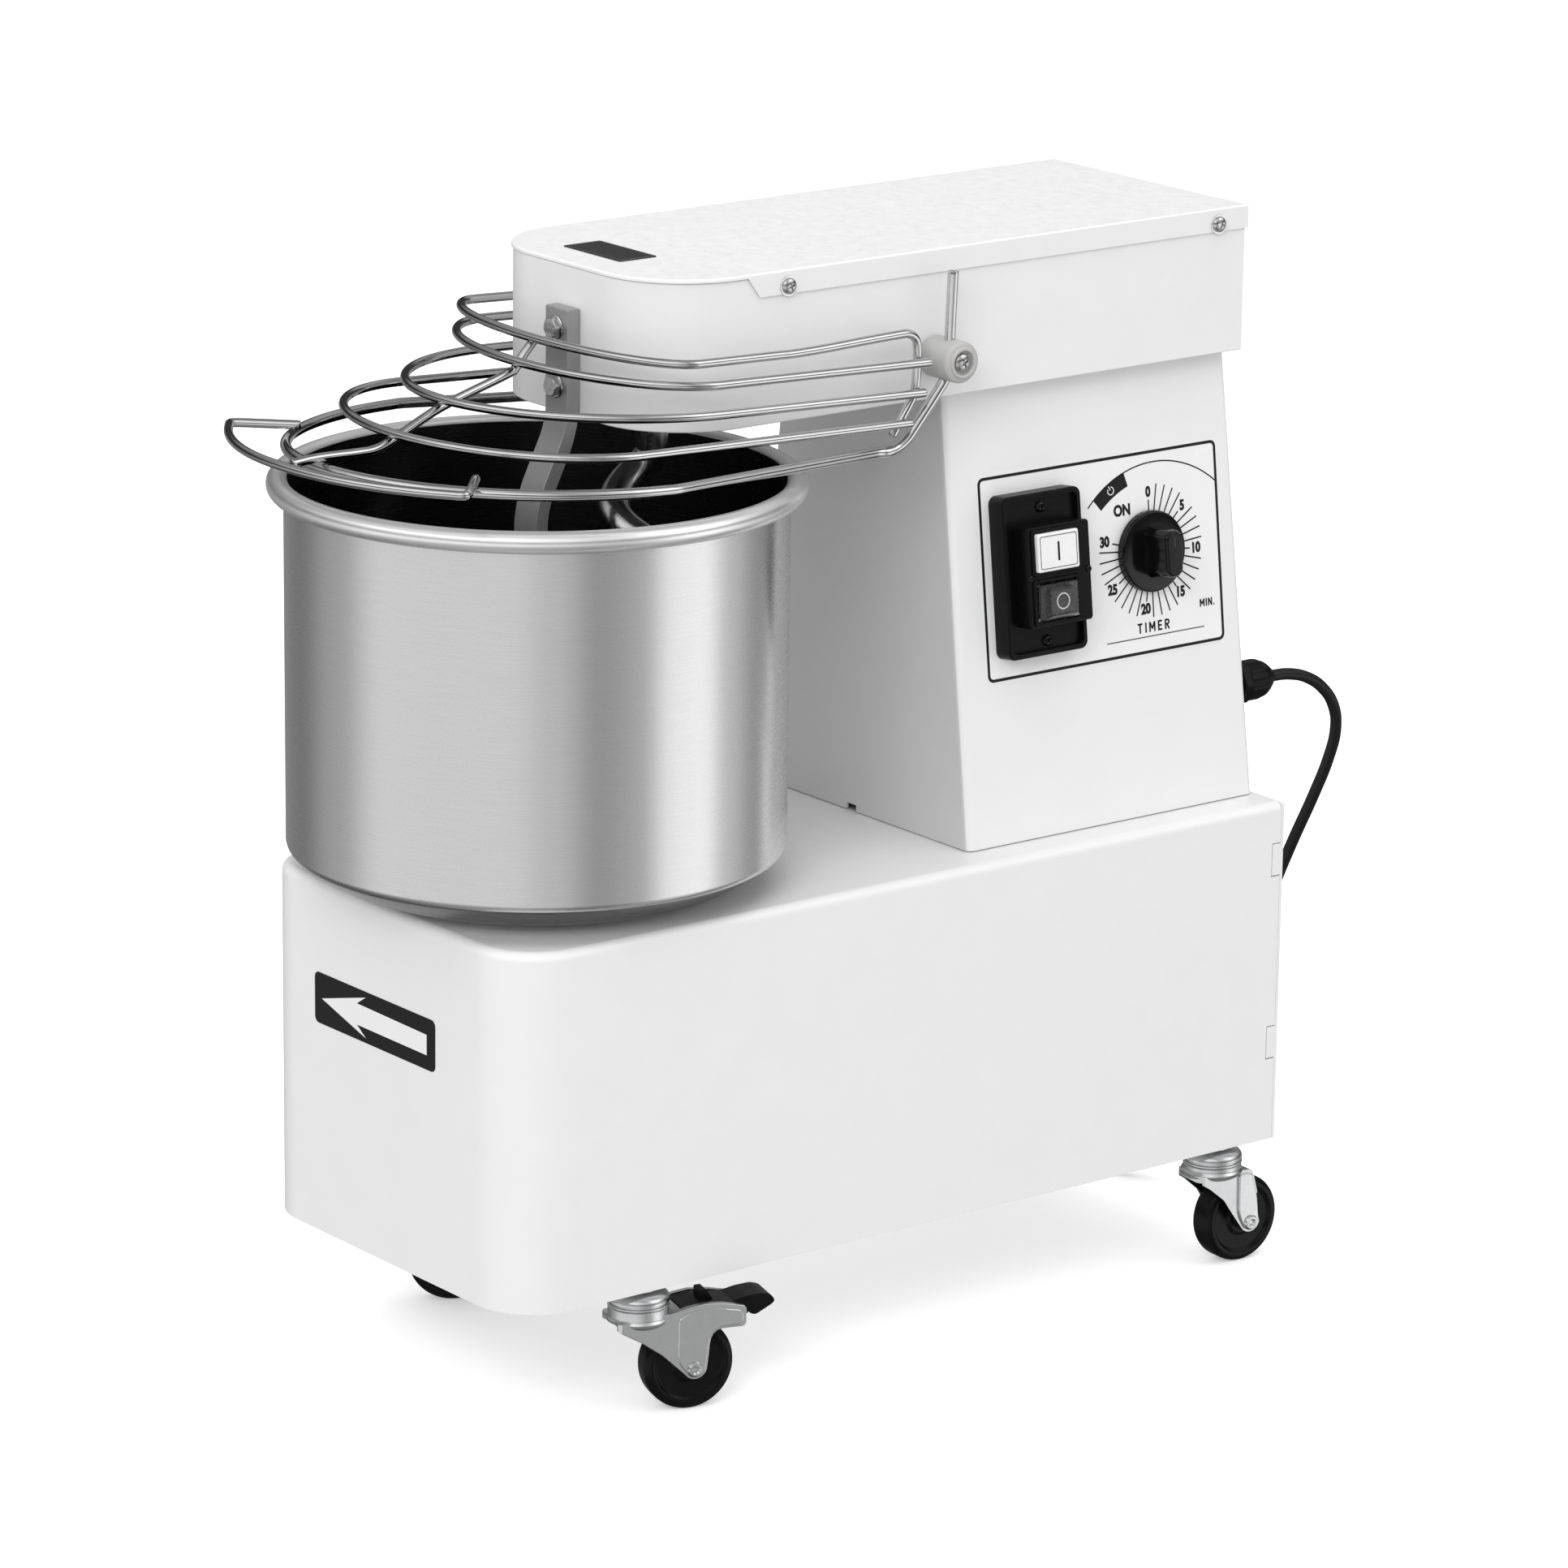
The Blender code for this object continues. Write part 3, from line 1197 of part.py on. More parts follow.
def mains_cable():
    wire("mains_cable", smooth_path(CABLE_ROUTE, 0.013), CABLE, black_plastic())
    wire("mains_cable_tail", smooth_path(TAIL_ROUTE, 0.010), CABLE, black_plastic())
    low = COIL_RADIUS - COIL_HALF
    high = COIL_RADIUS + COIL_HALF
    top = 2 * COIL_HALF + GAP
    profile = [(low, top), (high, top), (high, GAP), (low, GAP)]
    coil = turned("mains_cable_coil", profile, black_plastic(), steps=32, closed=True)
    coil.location = (COIL_X, COIL_Y, 0.0)


def mains_plug():
    """Two-pin earthed plug lying on its side, its pins towards +X."""
    profile = [(0.0, 0.0), (0.0050, 0.0), (0.0060, -0.0160), (0.0120, -0.0200), (PLUG_RADIUS, -0.0270)]
    profile += [(PLUG_RADIUS, -0.0400), (0.0, -0.0400)]
    frame = empty("plug_axis", (PLUG_BACK, PLUG_Y, PLUG_RADIUS + GAP), (0.0, -pi / 2, 0.0))
    plug = turned("mains_plug", profile, black_plastic(), frame, steps=24)
    for number, side in enumerate((-1, 1)):
        ends = ((0.0, side * 0.0095, -0.0380), (0.0, side * 0.0095, -0.0580))
        join(plug, rod(f"plug_pin_{number}", 0.0024, *ends, None, frame, sides=12))
    return plug


# ------------------------------------------------------------------ assembly


def main():
    clear_scene()
    base_housing()
    base_floor_plate()
    base_rear_cover()
    column_housing()
    head_housing()
    head_lid()
    breaker_bar()
    for name, level in zip(("breaker_bolt_upper", "breaker_bolt_lower"), BOLT_HEIGHTS):
        breaker_bolt(name, level)
    bowl()
    bowl_shaft()
    under = BASE_TOP - SHEET - GAP
    bearing_housing("bowl_bearing_housing", BOWL_Y, 0.0129, 0.050, 0.026, (under, under - 0.006, 0.1900))
    spiral_hook()
    over = HEAD_BOTTOM + SHEET + GAP
    bearing_housing("spiral_bearing_housing", SPIRAL_Y, 0.0089, 0.032, 0.022, (over, over + 0.006, 0.5300))
    sprocket("bowl_sprocket", BOWL_TEETH, BOWL_SHAFT_RADIUS, BOWL_Y, LOWER_CHAIN_Z)
    sprocket("drive_sprocket_lower", LOWER_DRIVE_TEETH, DRIVE_SHAFT_RADIUS, DRIVE_Y, LOWER_CHAIN_Z)
    sprocket("drive_sprocket_upper", UPPER_DRIVE_TEETH, DRIVE_SHAFT_RADIUS, DRIVE_Y, UPPER_CHAIN_Z)
    sprocket("spiral_sprocket", SPIRAL_TEETH, SPIRAL_BAR, SPIRAL_Y, UPPER_CHAIN_Z)
    chain("lower_chain", BOWL_Y, DRIVE_Y, BOWL_TEETH, LOWER_DRIVE_TEETH, LOWER_CHAIN_Z)
    chain("upper_chain", SPIRAL_Y, DRIVE_Y, SPIRAL_TEETH, UPPER_DRIVE_TEETH, UPPER_CHAIN_Z)
    drive_shaft()
    gearbox()
    motor()
    guard()
    guard_microswitch()
    control_panel()
    castors()
    cable_gland()
    mains_cable()
    mains_plug()


main()
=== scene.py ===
"""Looks of the spiral dough mixer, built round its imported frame.

Metres, +Z up, floor at z = 0, the bowl at the -Y end and the control panel on the +X side.
"""

import math
from math import cos, pi, radians, sin

import bmesh
import bpy
from mathutils import Matrix, Vector


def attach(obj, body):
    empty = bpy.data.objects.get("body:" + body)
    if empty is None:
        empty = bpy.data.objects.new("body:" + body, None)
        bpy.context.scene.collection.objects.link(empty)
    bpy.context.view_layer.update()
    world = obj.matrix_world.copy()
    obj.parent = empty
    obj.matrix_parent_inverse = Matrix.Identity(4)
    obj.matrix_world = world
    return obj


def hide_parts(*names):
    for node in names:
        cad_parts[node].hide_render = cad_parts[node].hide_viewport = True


GAP = 0.0003
WELD = 0.000001
TEXT_WELD = 0.0000005

# Levels of a label's two faces above the surface that it's on, and of its print's
FILM = (0.00006, 0.00030)
PRINT = (0.00028, 0.00042)

# Base, head, lid and column
BASE_HALF = 0.1178
BASE_FRONT = -0.2353
BASE_REAR = 0.2760
BASE_BOTTOM = 0.069
BASE_TOP = 0.2607
BASE_CORNER = 0.035
SHEET = 0.002
TAB_HEIGHTS = (0.2287, 0.1247)
TAB_LENGTH = 0.019
TAB_DEPTH = 0.006
HEAD_HALF = 0.0795
HEAD_FRONT = -0.1212
HEAD_REAR = 0.2685
HEAD_BOTTOM = 0.5049
HEAD_CORNER = 0.0484
LID_HALF = 0.0808
LID_REAR = 0.2697
LID_TOP = 0.5842
LID_SKIRT = 0.0125
LID_SKIRT_FRONT = -0.0660
LID_SKIRT_SLOPE = 0.0105
COLUMN_FOOT_HALF = 0.0965
COLUMN_TOP_HALF = 0.0676
COLUMN_FRONT = 0.0721
COLUMN_FOOT_REAR = 0.2716
COLUMN_TOP_REAR = 0.2671
COLUMN_EDGE = 0.004
COLUMN_LEAN = math.atan2(COLUMN_FOOT_HALF - COLUMN_TOP_HALF, HEAD_BOTTOM - BASE_TOP)

# Bowl, spiral and breaker bar
BOWL_Y = -0.1389
BOWL_RADIUS = 0.130
BOWL_WALL = 0.002
BOWL_RIM_Z = 0.4715
BOWL_RIM_RADIUS = 0.1331
BOWL_RIM_TUBE = 0.0058
BOWL_BOTTOM = 0.2672
BOWL_FOOT_RADIUS = 0.1090
BOWL_CORNER_Z = 0.2796
SPIRAL_Y = -0.0659
SPIRAL_BAR = 0.0085
SPIRAL_RADIUS = 0.041
SPIRAL_HOOK_TOP = 0.4800
SPIRAL_BOTTOM = 0.2860
SPIRAL_SHAFT_TOP = 0.5560
SPIRAL_START = radians(218)
SPIRAL_TURN = radians(490)
SPIRAL_OPENING_DROP = 0.0394
BAR_X = 0.003
BAR_WIDTH = 0.019
BAR_BACK = HEAD_FRONT - GAP
BAR_FACE = BAR_BACK - 0.008
BAR_TOP = 0.5618
BAR_JOG_TOP = 0.4990
BAR_JOG_BOTTOM = 0.4590
BAR_JOG = 0.0197
BAR_BOTTOM = 0.2830
BOLT_HEIGHTS = (0.5515, 0.5212)
BOLT_ACROSS = 0.0100
# Places along Y and radii of the round openings in the base's top
BASE_OPENINGS = ((BOWL_Y, 0.0145), (0.1961, 0.0500), (0.1061, 0.0120))

# Guard, in its own frame on the pivot
GUARD = Matrix.Translation((0.0, 0.0560, 0.5280)) @ Matrix.Rotation(radians(-2.23), 4, "X")
WIRE = 0.0024
MAIN_WIRE = 0.0029
MAIN_WIRE_X = 0.0935
BUSH_RADIUS = 0.011
BUSH_INNER = 0.0801
BUSH_OUTER = 0.1050
# Hoops from the top: level, half width of the front arc, arc centre, arc depth, half width at the
# rear end, rear end
HOOPS = (
    (0.0122, 0.0975, -0.1663, 0.0351, 0.0960, -0.1050),
    (0.0010, 0.1006, -0.1546, 0.0575, 0.0987, -0.0175),
    (-0.0148, 0.0984, -0.1500, 0.1070, 0.0987, -0.0200),
    (-0.0298, 0.1055, -0.2055, 0.0810, 0.0993, -0.0285),
    (-0.0450, 0.1208, -0.1940, 0.1310, MAIN_WIRE_X, -0.0460),
)
HANDLE_LEVEL = -0.0390
HANDLE_HALF = 0.104
HANDLE_REAR = -0.2870
HANDLE_FRONT = -0.3498
HANDLE_SLOPE = 0.04
LEFT_SAG = 0.0019

# Control panel, in its own frame: X outward, Y along, Z up the slope
PANEL_Z = 0.4047
PANEL_Y = 0.1750
PANEL_X = COLUMN_FOOT_HALF - math.tan(COLUMN_LEAN) * (PANEL_Z - BASE_TOP)
PANEL = Matrix.Translation((PANEL_X, PANEL_Y, PANEL_Z)) @ Matrix.Rotation(-COLUMN_LEAN, 4, "Y")
SWITCH = (-0.0498, -0.0020)
SWITCH_FACE = 0.0115
SWITCH_TOP = 0.0215
START_Z = 0.0131
STOP_Z = -0.0134
BUTTON = (0.028, 0.0205)
BUTTON_BACK = 0.0121
WELL_FLOOR = 0.0085
KNOB = (0.0312, -0.0019)
KNOB_RADIUS = 0.022
KNOB_DISC = 0.0060
KNOB_DEPTH = 0.0225
KNOB_NOTCHES = 36
DIAL = (0.0328, -0.0020)
MINUTE = radians(9.5)
CAPITAL_SHARE = 0.69

# Castors, each in its own frame under the base, x along its trail
CASTOR_HEIGHT = 0.069
# Name, X, Y, heading of the trail, whether it has a brake
CASTORS = (
    ("front_right", 0.106, -0.1500, radians(73.8), True),
    ("front_left", -0.106, -0.1500, radians(61), True),
    ("rear_right", 0.106, 0.2415, radians(87), False),
    ("rear_left", -0.106, 0.2415, radians(76), False),
)
BRAKED_TRAIL = 0.0260
PLAIN_TRAIL = 0.0166
WHEEL_RADIUS = 0.0245
WHEEL_HALF = 0.0075
AXLE_Z = WHEEL_RADIUS - CASTOR_HEIGHT
AXLE_RADIUS = 0.0035
RACE_BOTTOM = -0.0096
WEB_BOTTOM = -0.0176
FORK_HALF = 0.0138
FORK_SLOT = 0.0105
PEDAL_SLOT = 0.0190

# Mains cable
CABLE = 0.00325
ON_FLOOR = CABLE + GAP
GLAND_X = 0.078
GLAND_Z = 0.3193
GLAND_END = 0.2971
GLAND_FLUTES = 12
GLAND_FLUTE_DEPTH = 0.0006
COIL = (-0.094, 0.335)
COIL_OUTER = 0.0410
COIL_PITCH = 0.0070
COIL_TURNS = 4.25
PLUG_Y = 0.402
PLUG_BACK = -0.098
PLUG_RADIUS = 0.0185
CABLE_ROUTE = (
    (GLAND_X, GLAND_END + 2 * GAP, GLAND_Z), (0.0780, 0.3120, 0.3183), (0.0780, 0.3260, 0.3140),
    (0.0775, 0.3385, 0.3055), (0.0745, 0.3490, 0.2935), (0.0680, 0.3570, 0.2780),
    (0.0575, 0.3620, 0.2580), (0.0440, 0.3640, 0.2330), (0.0300, 0.3620, 0.2030),
    (0.0175, 0.3570, 0.1680), (0.0070, 0.3500, 0.1300), (-0.0010, 0.3410, 0.0920),
    (-0.0080, 0.3300, 0.0570), (-0.0170, 0.3175, 0.0270), (-0.0290, 0.3060, 0.0095),
    (-0.0430, 0.2980, ON_FLOOR + 0.0008), (-0.0570, 0.2950, ON_FLOOR), (-0.0705, 0.2942, ON_FLOOR),
)
TAIL_ROUTE = (
    (-0.1345, 0.3500, ON_FLOOR + 2 * CABLE), (-0.1335, 0.3640, ON_FLOOR + 2 * CABLE),
    (-0.1310, 0.3780, 0.0112), (-0.1245, 0.3910, 0.0142), (-0.1145, 0.3990, 0.0172),
    (-0.1060, PLUG_Y, 0.0187), (PLUG_BACK - 2 * GAP, PLUG_Y, PLUG_RADIUS + GAP),
)

# Camera
CAMERA_AT = (2.82737, -2.17653, 1.28640)
CAMERA_AZIMUTH = radians(52.115)
CAMERA_ELEVATION = radians(15.625)
CAMERA_ROLL = radians(0.704)
CAMERA_LENS = 160.3

# Light
WHITE = (1.0, 1.0, 1.0, 1.0)
SKY_SEEN = 1.3
FLOOR_GLOW = 0.34
LIGHT_TARGET = (0.0, 0.0, 0.30)
# Name, place, width and height, power
LIGHTS = (
    ("key", (2.6, -3.4, 3.0), (2.2, 1.6), 74.0),
    ("top", (0.2, 0.3, 3.2), (2.6, 2.6), 21.0),
)

# SIDE turns a flat outline into the Y-Z plane, and UPRIGHT into the X-Z plane
SIDE = Matrix(((0, 0, 1, 0), (1, 0, 0, 0), (0, 1, 0, 0), (0, 0, 0, 1)))
UPRIGHT = Matrix.Rotation(pi / 2, 4, "X")

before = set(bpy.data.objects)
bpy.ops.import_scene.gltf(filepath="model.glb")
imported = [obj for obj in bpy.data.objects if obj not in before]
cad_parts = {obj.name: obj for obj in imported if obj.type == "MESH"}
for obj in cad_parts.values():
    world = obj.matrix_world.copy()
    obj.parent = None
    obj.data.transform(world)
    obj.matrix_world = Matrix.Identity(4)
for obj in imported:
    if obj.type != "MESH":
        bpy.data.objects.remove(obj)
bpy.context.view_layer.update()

# ---- materials


class Finish:
    """A material built node by node round one Principled shader."""

    def __init__(self, name, colour, roughness, metallic=0.0, **sockets):
        self.material = bpy.data.materials.new(name)
        self.material.use_nodes = True
        self.tree = self.material.node_tree
        self.shader = self.tree.nodes["Principled BSDF"]
        self.colour = colour
        self.roughness = roughness
        self.last_normal = None
        self.paint = None
        self.shader.inputs["Base Color"].default_value = (*colour, 1.0)
        self.shader.inputs["Roughness"].default_value = roughness
        self.shader.inputs["Metallic"].default_value = metallic
        for socket, value in sockets.items():
            self.shader.inputs[socket.replace("_", " ")].default_value = value
        self.place = self.node("ShaderNodeTexCoord").outputs["Object"]

    def node(self, kind, **values):
        made = self.tree.nodes.new(kind)
        for key, value in values.items():
            setattr(made, key, value)
        return made

    def noise(self, scale, detail=3.0, stretch=(1.0, 1.0, 1.0), shift=(0.0, 0.0, 0.0)):
        mapping = self.node("ShaderNodeMapping")
        mapping.inputs["Scale"].default_value = stretch
        mapping.inputs["Location"].default_value = shift
        self.tree.links.new(self.place, mapping.inputs["Vector"])
        texture = self.node("ShaderNodeTexNoise")
        texture.inputs["Scale"].default_value = scale
        texture.inputs["Detail"].default_value = detail
        self.tree.links.new(mapping.outputs["Vector"], texture.inputs["Vector"])
        return texture.outputs["Fac"]

    def ranged(self, value, low, high, start=0.3, end=0.7):
        made = self.node("ShaderNodeMapRange")
        made.inputs["From Min"].default_value = start
        made.inputs["From Max"].default_value = end
        made.inputs["To Min"].default_value = low
        made.inputs["To Max"].default_value = high
        self.tree.links.new(value, made.inputs["Value"])
        return made.outputs["Result"]

    def mixed(self, share, first, second):
        """Two colours or sockets mixed by share."""
        made = self.node("ShaderNodeMix", data_type="RGBA")
        self.tree.links.new(share, made.inputs["Factor"])
        for socket, value in ((made.inputs[6], first), (made.inputs[7], second)):
            if isinstance(value, bpy.types.NodeSocket):
                self.tree.links.new(value, socket)
            else:
                socket.default_value = (*value, 1.0)
        return made.outputs[2]

    def mottled(self, scale, spread, stretch=(1.0, 1.0, 1.0), detail=3.0):
        """Colour that drifts a little either side of the base colour."""
        dark = tuple(c * (1 - spread) for c in self.colour)
        light = tuple(min(1.0, c * (1 + spread)) for c in self.colour)
        share = self.ranged(self.noise(scale, detail, stretch), 0.0, 1.0)
        self.paint = self.mixed(share, dark, light)
        self.tree.links.new(self.paint, self.shader.inputs["Base Color"])
        return self

    def worn(self, colour, start=0.53, end=0.62, amount=0.6):
        """Another colour on the outer edges."""
        edge = self.node("ShaderNodeNewGeometry").outputs["Pointiness"]
        share = self.ranged(edge, 0.0, amount, start, end)
        self.paint = self.mixed(share, self.paint, colour)
        self.tree.links.new(self.paint, self.shader.inputs["Base Color"])
        return self

    def patchy(self, scale, spread, stretch=(1.0, 1.0, 1.0), detail=3.0):
        """Roughness that varies over the surface."""
        value = self.noise(scale, detail, stretch, (0.37, 0.11, 0.73))
        result = self.ranged(value, self.roughness - spread, self.roughness + spread)
        self.tree.links.new(result, self.shader.inputs["Roughness"])
        return self

    def bumped(self, scale, depth, strength=1.0, stretch=(1.0, 1.0, 1.0), detail=2.0):
        """Relief of the given depth in metres."""
        bump = self.node("ShaderNodeBump")
        bump.inputs["Strength"].default_value = strength
        bump.inputs["Distance"].default_value = depth
        self.tree.links.new(self.noise(scale, detail, stretch, (0.5, 0.3, 0.9)), bump.inputs["Height"])
        if self.last_normal:
            self.tree.links.new(self.last_normal, bump.inputs["Normal"])
        self.last_normal = bump.outputs["Normal"]
        self.tree.links.new(self.last_normal, self.shader.inputs["Normal"])
        return self

    def brushed_round(self):
        """Highlights drawn out by turning marks about the piece's own Z axis."""
        tangent = self.node("ShaderNodeTangent", direction_type="RADIAL", axis="Z")
        self.tree.links.new(tangent.outputs["Tangent"], self.shader.inputs["Tangent"])
        self.shader.inputs["Anisotropic Rotation"].default_value = 0.25
        return self


def grey(value):
    return (value, value, value)


def surface(name, colour, roughness, metallic, mottling, patches, relief, wear=(), **sockets):
    """A finish whose colour, roughness and relief vary, with wear on the outer edges if given."""
    made = Finish(name, colour, roughness, metallic, **sockets)
    made.mottled(*mottling).patchy(*patches).bumped(*relief)
    return made.worn(*wear) if wear else made


def make_finishes():
    turned = (0.02, 0.02, 1.0)
    drawn = (1.0, 1.0, 0.02)
    coat = (0.36, 0.0, (35.0, 0.008), (180.0, 0.06), (1100.0, 0.00006, 0.35))
    black_wear = (grey(0.03), 0.55, 0.68, 0.5)
    made = {
        "paint": surface("powder_coat", (0.793, 0.795, 0.793), *coat, Specular_IOR_Level=0.45),
        # darker copy of the paint: painted shade on the column's face toward the bowl
        "paint_shaded": surface("powder_coat_painted_shade", (0.60, 0.602, 0.60), *coat, Specular_IOR_Level=0.45),
        "bowl_outside": surface(
            "brushed_stainless", grey(0.76), 0.27, 1.0,
            (1900.0, 0.014, turned, 4.0), (2300.0, 0.015, turned, 4.0),
            (3000.0, 0.00001, 0.10, turned, 3.0), Anisotropic=0.80,
        ).brushed_round(),
        # much darker steel for the bowl's inside, the same metal as the outside: painted shade under the
        # head
        "bowl_inside_painted_shade": surface(
            "stainless_inside_painted_shade", grey(0.13), 0.26, 1.0,
            (1300.0, 0.03, turned, 4.0), (1500.0, 0.02, turned, 3.0),
            (2200.0, 0.00001, 0.06, turned, 3.0), Anisotropic=0.5,
        ).brushed_round(),
        # lighter, part-white steel on the rolled rim: partly its polish, partly a painted highlight
        "bowl_rim_painted_highlight": surface(
            "polished_stainless_painted_highlight", grey(0.93), 0.30, 0.82,
            (60.0, 0.012), (140.0, 0.02), (300.0, 0.00001, 0.05),
        ).brushed_round(),
        "hook": surface(
            "cast_stainless", grey(0.55), 0.20, 1.0,
            (260.0, 0.05), (420.0, 0.07), (700.0, 0.00004, 0.25),
        ),
        "bar": surface(
            "brushed_bar", grey(0.36), 0.40, 0.55,
            (1300.0, 0.05, drawn, 4.0), (1500.0, 0.07, drawn), (2400.0, 0.00003, 0.4, drawn), (grey(0.75),),
        ),
        "chrome": surface(
            "bright_chrome", grey(0.60), 0.08, 1.0,
            (240.0, 0.03), (600.0, 0.03), (500.0, 0.00003, 0.12),
        ),
        "zinc": surface(
            "zinc_plate", (0.64, 0.645, 0.65), 0.27, 1.0,
            (120.0, 0.02), (160.0, 0.025), (300.0, 0.00001, 0.06), (grey(0.80), 0.56, 0.70, 0.5),
        ),
        "steel": surface(
            "machined_steel", grey(0.34), 0.36, 1.0,
            (500.0, 0.12), (800.0, 0.09), (1800.0, 0.00004, 0.3), (grey(0.65),),
        ),
        "bolt": surface(
            "bolt_steel", grey(0.62), 0.24, 1.0,
            (600.0, 0.08), (900.0, 0.08), (1500.0, 0.00003, 0.25), (grey(0.9),),
        ),
        "cast": surface(
            "cast_aluminium", (0.36, 0.37, 0.38), 0.52, 0.85,
            (160.0, 0.14), (420.0, 0.10), (900.0, 0.00020, 0.5), (grey(0.6),),
        ),
        "plastic": surface(
            "black_plastic", grey(0.0040), 0.34, 0.0,
            (300.0, 0.20), (700.0, 0.06), (2600.0, 0.00002, 0.15), black_wear, Specular_IOR_Level=0.13,
        ),
        "gloss_black": surface(
            "glossy_black_plastic", grey(0.0035), 0.14, 0.0,
            (200.0, 0.2), (350.0, 0.04), (900.0, 0.00002, 0.06), black_wear, Specular_IOR_Level=0.30,
        ),
        "wheel": surface(
            "castor_wheel_black", grey(0.0035), 0.26, 0.0,
            (260.0, 0.25), (420.0, 0.06), (1300.0, 0.00003, 0.12), (grey(0.02), *black_wear[1:]),
            Specular_IOR_Level=0.15,
        ),
        "rubber": surface(
            "cable_sheath", grey(0.006), 0.40, 0.0,
            (500.0, 0.2), (900.0, 0.08), (3000.0, 0.00004, 0.3), Specular_IOR_Level=0.30,
        ),
        "nylon": surface(
            "natural_nylon", (0.45, 0.45, 0.445), 0.40, 0.0,
            (180.0, 0.02), (500.0, 0.08), (1500.0, 0.00004, 0.3),
            Subsurface_Weight=0.15, Subsurface_Scale=0.004,
        ),
        "white_plastic": surface(
            "white_button", grey(0.82), 0.28, 0.0,
            (300.0, 0.015), (600.0, 0.05), (1600.0, 0.00002, 0.2),
        ),
        "grey_plastic": surface(
            "grey_button", grey(0.020), 0.28, 0.0,
            (300.0, 0.08), (600.0, 0.05), (1600.0, 0.00002, 0.2),
        ),
        "label": surface(
            "label_film", grey(0.83), 0.24, 0.0,
            (60.0, 0.010), (160.0, 0.04), (700.0, 0.00002, 0.15),
        ),
        "ink": surface(
            "printing_ink", grey(0.010), 0.40, 0.0,
            (900.0, 0.15), (800.0, 0.05), (2500.0, 0.00001, 0.2), Specular_IOR_Level=0.20,
        ),
        "badge": surface(
            "dark_badge", grey(0.022), 0.26, 0.0,
            (900.0, 0.25, (1.0, 0.03, 1.0)), (700.0, 0.06), (1500.0, 0.00001, 0.2),
        ),
        "clear": Finish(
            "clear_cover", grey(0.95), 0.05, Transmission_Weight=1.0, IOR=1.45
        ).patchy(120.0, 0.015),
    }
    return {name: finish.material for name, finish in made.items()}


FINISH = make_finishes()


# ---- mesh building


def mm(*points):
    """Points given in millimetres, in metres."""
    return [tuple(value / 1000 for value in point) for point in points]


def linked(name, data):
    made = bpy.data.objects.new(name, data)
    bpy.context.scene.collection.objects.link(made)
    return made


def piece(name, shape, finish, stands_for=(), body="machine", sharp=34.0):
    """The mesh as a piece of the object that rides on a body."""
    mesh = bpy.data.meshes.new(name)
    shape.to_mesh(mesh)
    shape.free()
    mesh.shade_smooth()
    mesh.set_sharp_from_angle(angle=radians(sharp))
    finishes = (finish,) if isinstance(finish, str) else finish
    for one in finishes:
        mesh.materials.append(FINISH[one])
    made = linked(name, mesh)
    normals = made.modifiers.new("flat_faces", "WEIGHTED_NORMAL")
    normals.weight = 100
    normals.keep_sharp = True
    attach(made, body)
    if stands_for:
        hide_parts(*stands_for)
    return made


def placed(shape, place):
    shape.transform(place)
    return shape


def loft(rings, capped=True):
    """A skin over closed rings of points, with a cap on each end unless it's a closed band."""
    shape = bmesh.new()
    rows = [[shape.verts.new(p) for p in ring] for ring in rings]
    for first, second in zip(rows, rows[1:]):
        for i in range(len(first)):
            j = (i + 1) % len(first)
            shape.faces.new((first[i], first[j], second[j], second[i]))
    if capped:
        shape.faces.new(list(reversed(rows[0])))
        shape.faces.new(rows[-1])
    bmesh.ops.recalc_face_normals(shape, faces=shape.faces)
    return shape


def lathe(profile, steps=64, closed=False, place=Matrix()):
    """A turned solid about Z from (radius, z) points."""
    shape = bmesh.new()
    angles = [2 * pi * i / steps for i in range(steps)]
    rows = []
    for radius, z in profile:
        if radius < WELD:
            rows.append([shape.verts.new((0.0, 0.0, z))])
        else:
            rows.append([shape.verts.new((radius * cos(a), radius * sin(a), z)) for a in angles])
    pairs = list(zip(rows, rows[1:]))
    if closed:
        pairs.append((rows[-1], rows[0]))
    for first, second in pairs:
        for i in range(steps):
            j = (i + 1) % steps
            corners = ((first, i), (first, j), (second, j), (second, i))
            ring = list(dict.fromkeys(row[k % len(row)] for row, k in corners))
            if len(ring) > 2:
                shape.faces.new(ring)
    bmesh.ops.recalc_face_normals(shape, faces=shape.faces)
    return placed(shape, place)


def inset(outline, amount):
    """The closed outline moved inward by amount, corner by corner."""
    turning = sum(
        a[0] * b[1] - b[0] * a[1] for a, b in zip(outline, outline[1:] + outline[:1])
    )
    side = 1.0 if turning > 0 else -1.0
    moved = []
    count = len(outline)
    for i in range(count):
        before = Vector(outline[i]) - Vector(outline[i - 1])
        after = Vector(outline[(i + 1) % count]) - Vector(outline[i])
        first = Vector((-before.y, before.x)).normalized() * side
        second = Vector((-after.y, after.x)).normalized() * side
        middle = first + second
        reach = amount * 2 / max(0.6, middle.length_squared)
        moved.append(tuple(Vector(outline[i]) + middle * reach))
    return moved


def prism(outline, low, high, edge=0.0, both=True, place=Matrix()):
    """A flat outline from z = low to high with its rims rounded by edge, or only the upper one."""
    angles = [pi / 2 * k / 3 for k in range(4)]
    rounding = [(edge * (1 - cos(a)), edge * (1 - sin(a))) for a in angles]
    rings = [(low + rise, amount) for rise, amount in rounding] if edge and both else [(low, 0.0)]
    rings += [(high - rise, amount) for rise, amount in reversed(rounding)] if edge else [(high, 0.0)]
    levels = [(z, inset(outline, amount) if amount > WELD else outline) for z, amount in rings]
    return placed(loft([[(x, y, z) for x, y in ring] for z, ring in levels]), place)


def arc(centre, radius, start, end, count):
    """Points on an arc, angles in degrees."""
    angles = [radians(start + (end - start) * i / count) for i in range(count + 1)]
    return [(centre[0] + radius * cos(a), centre[1] + radius * sin(a)) for a in angles]


def circle(centre, radius, count=48):
    return arc(centre, radius, 0.0, 360.0, count)[:-1]


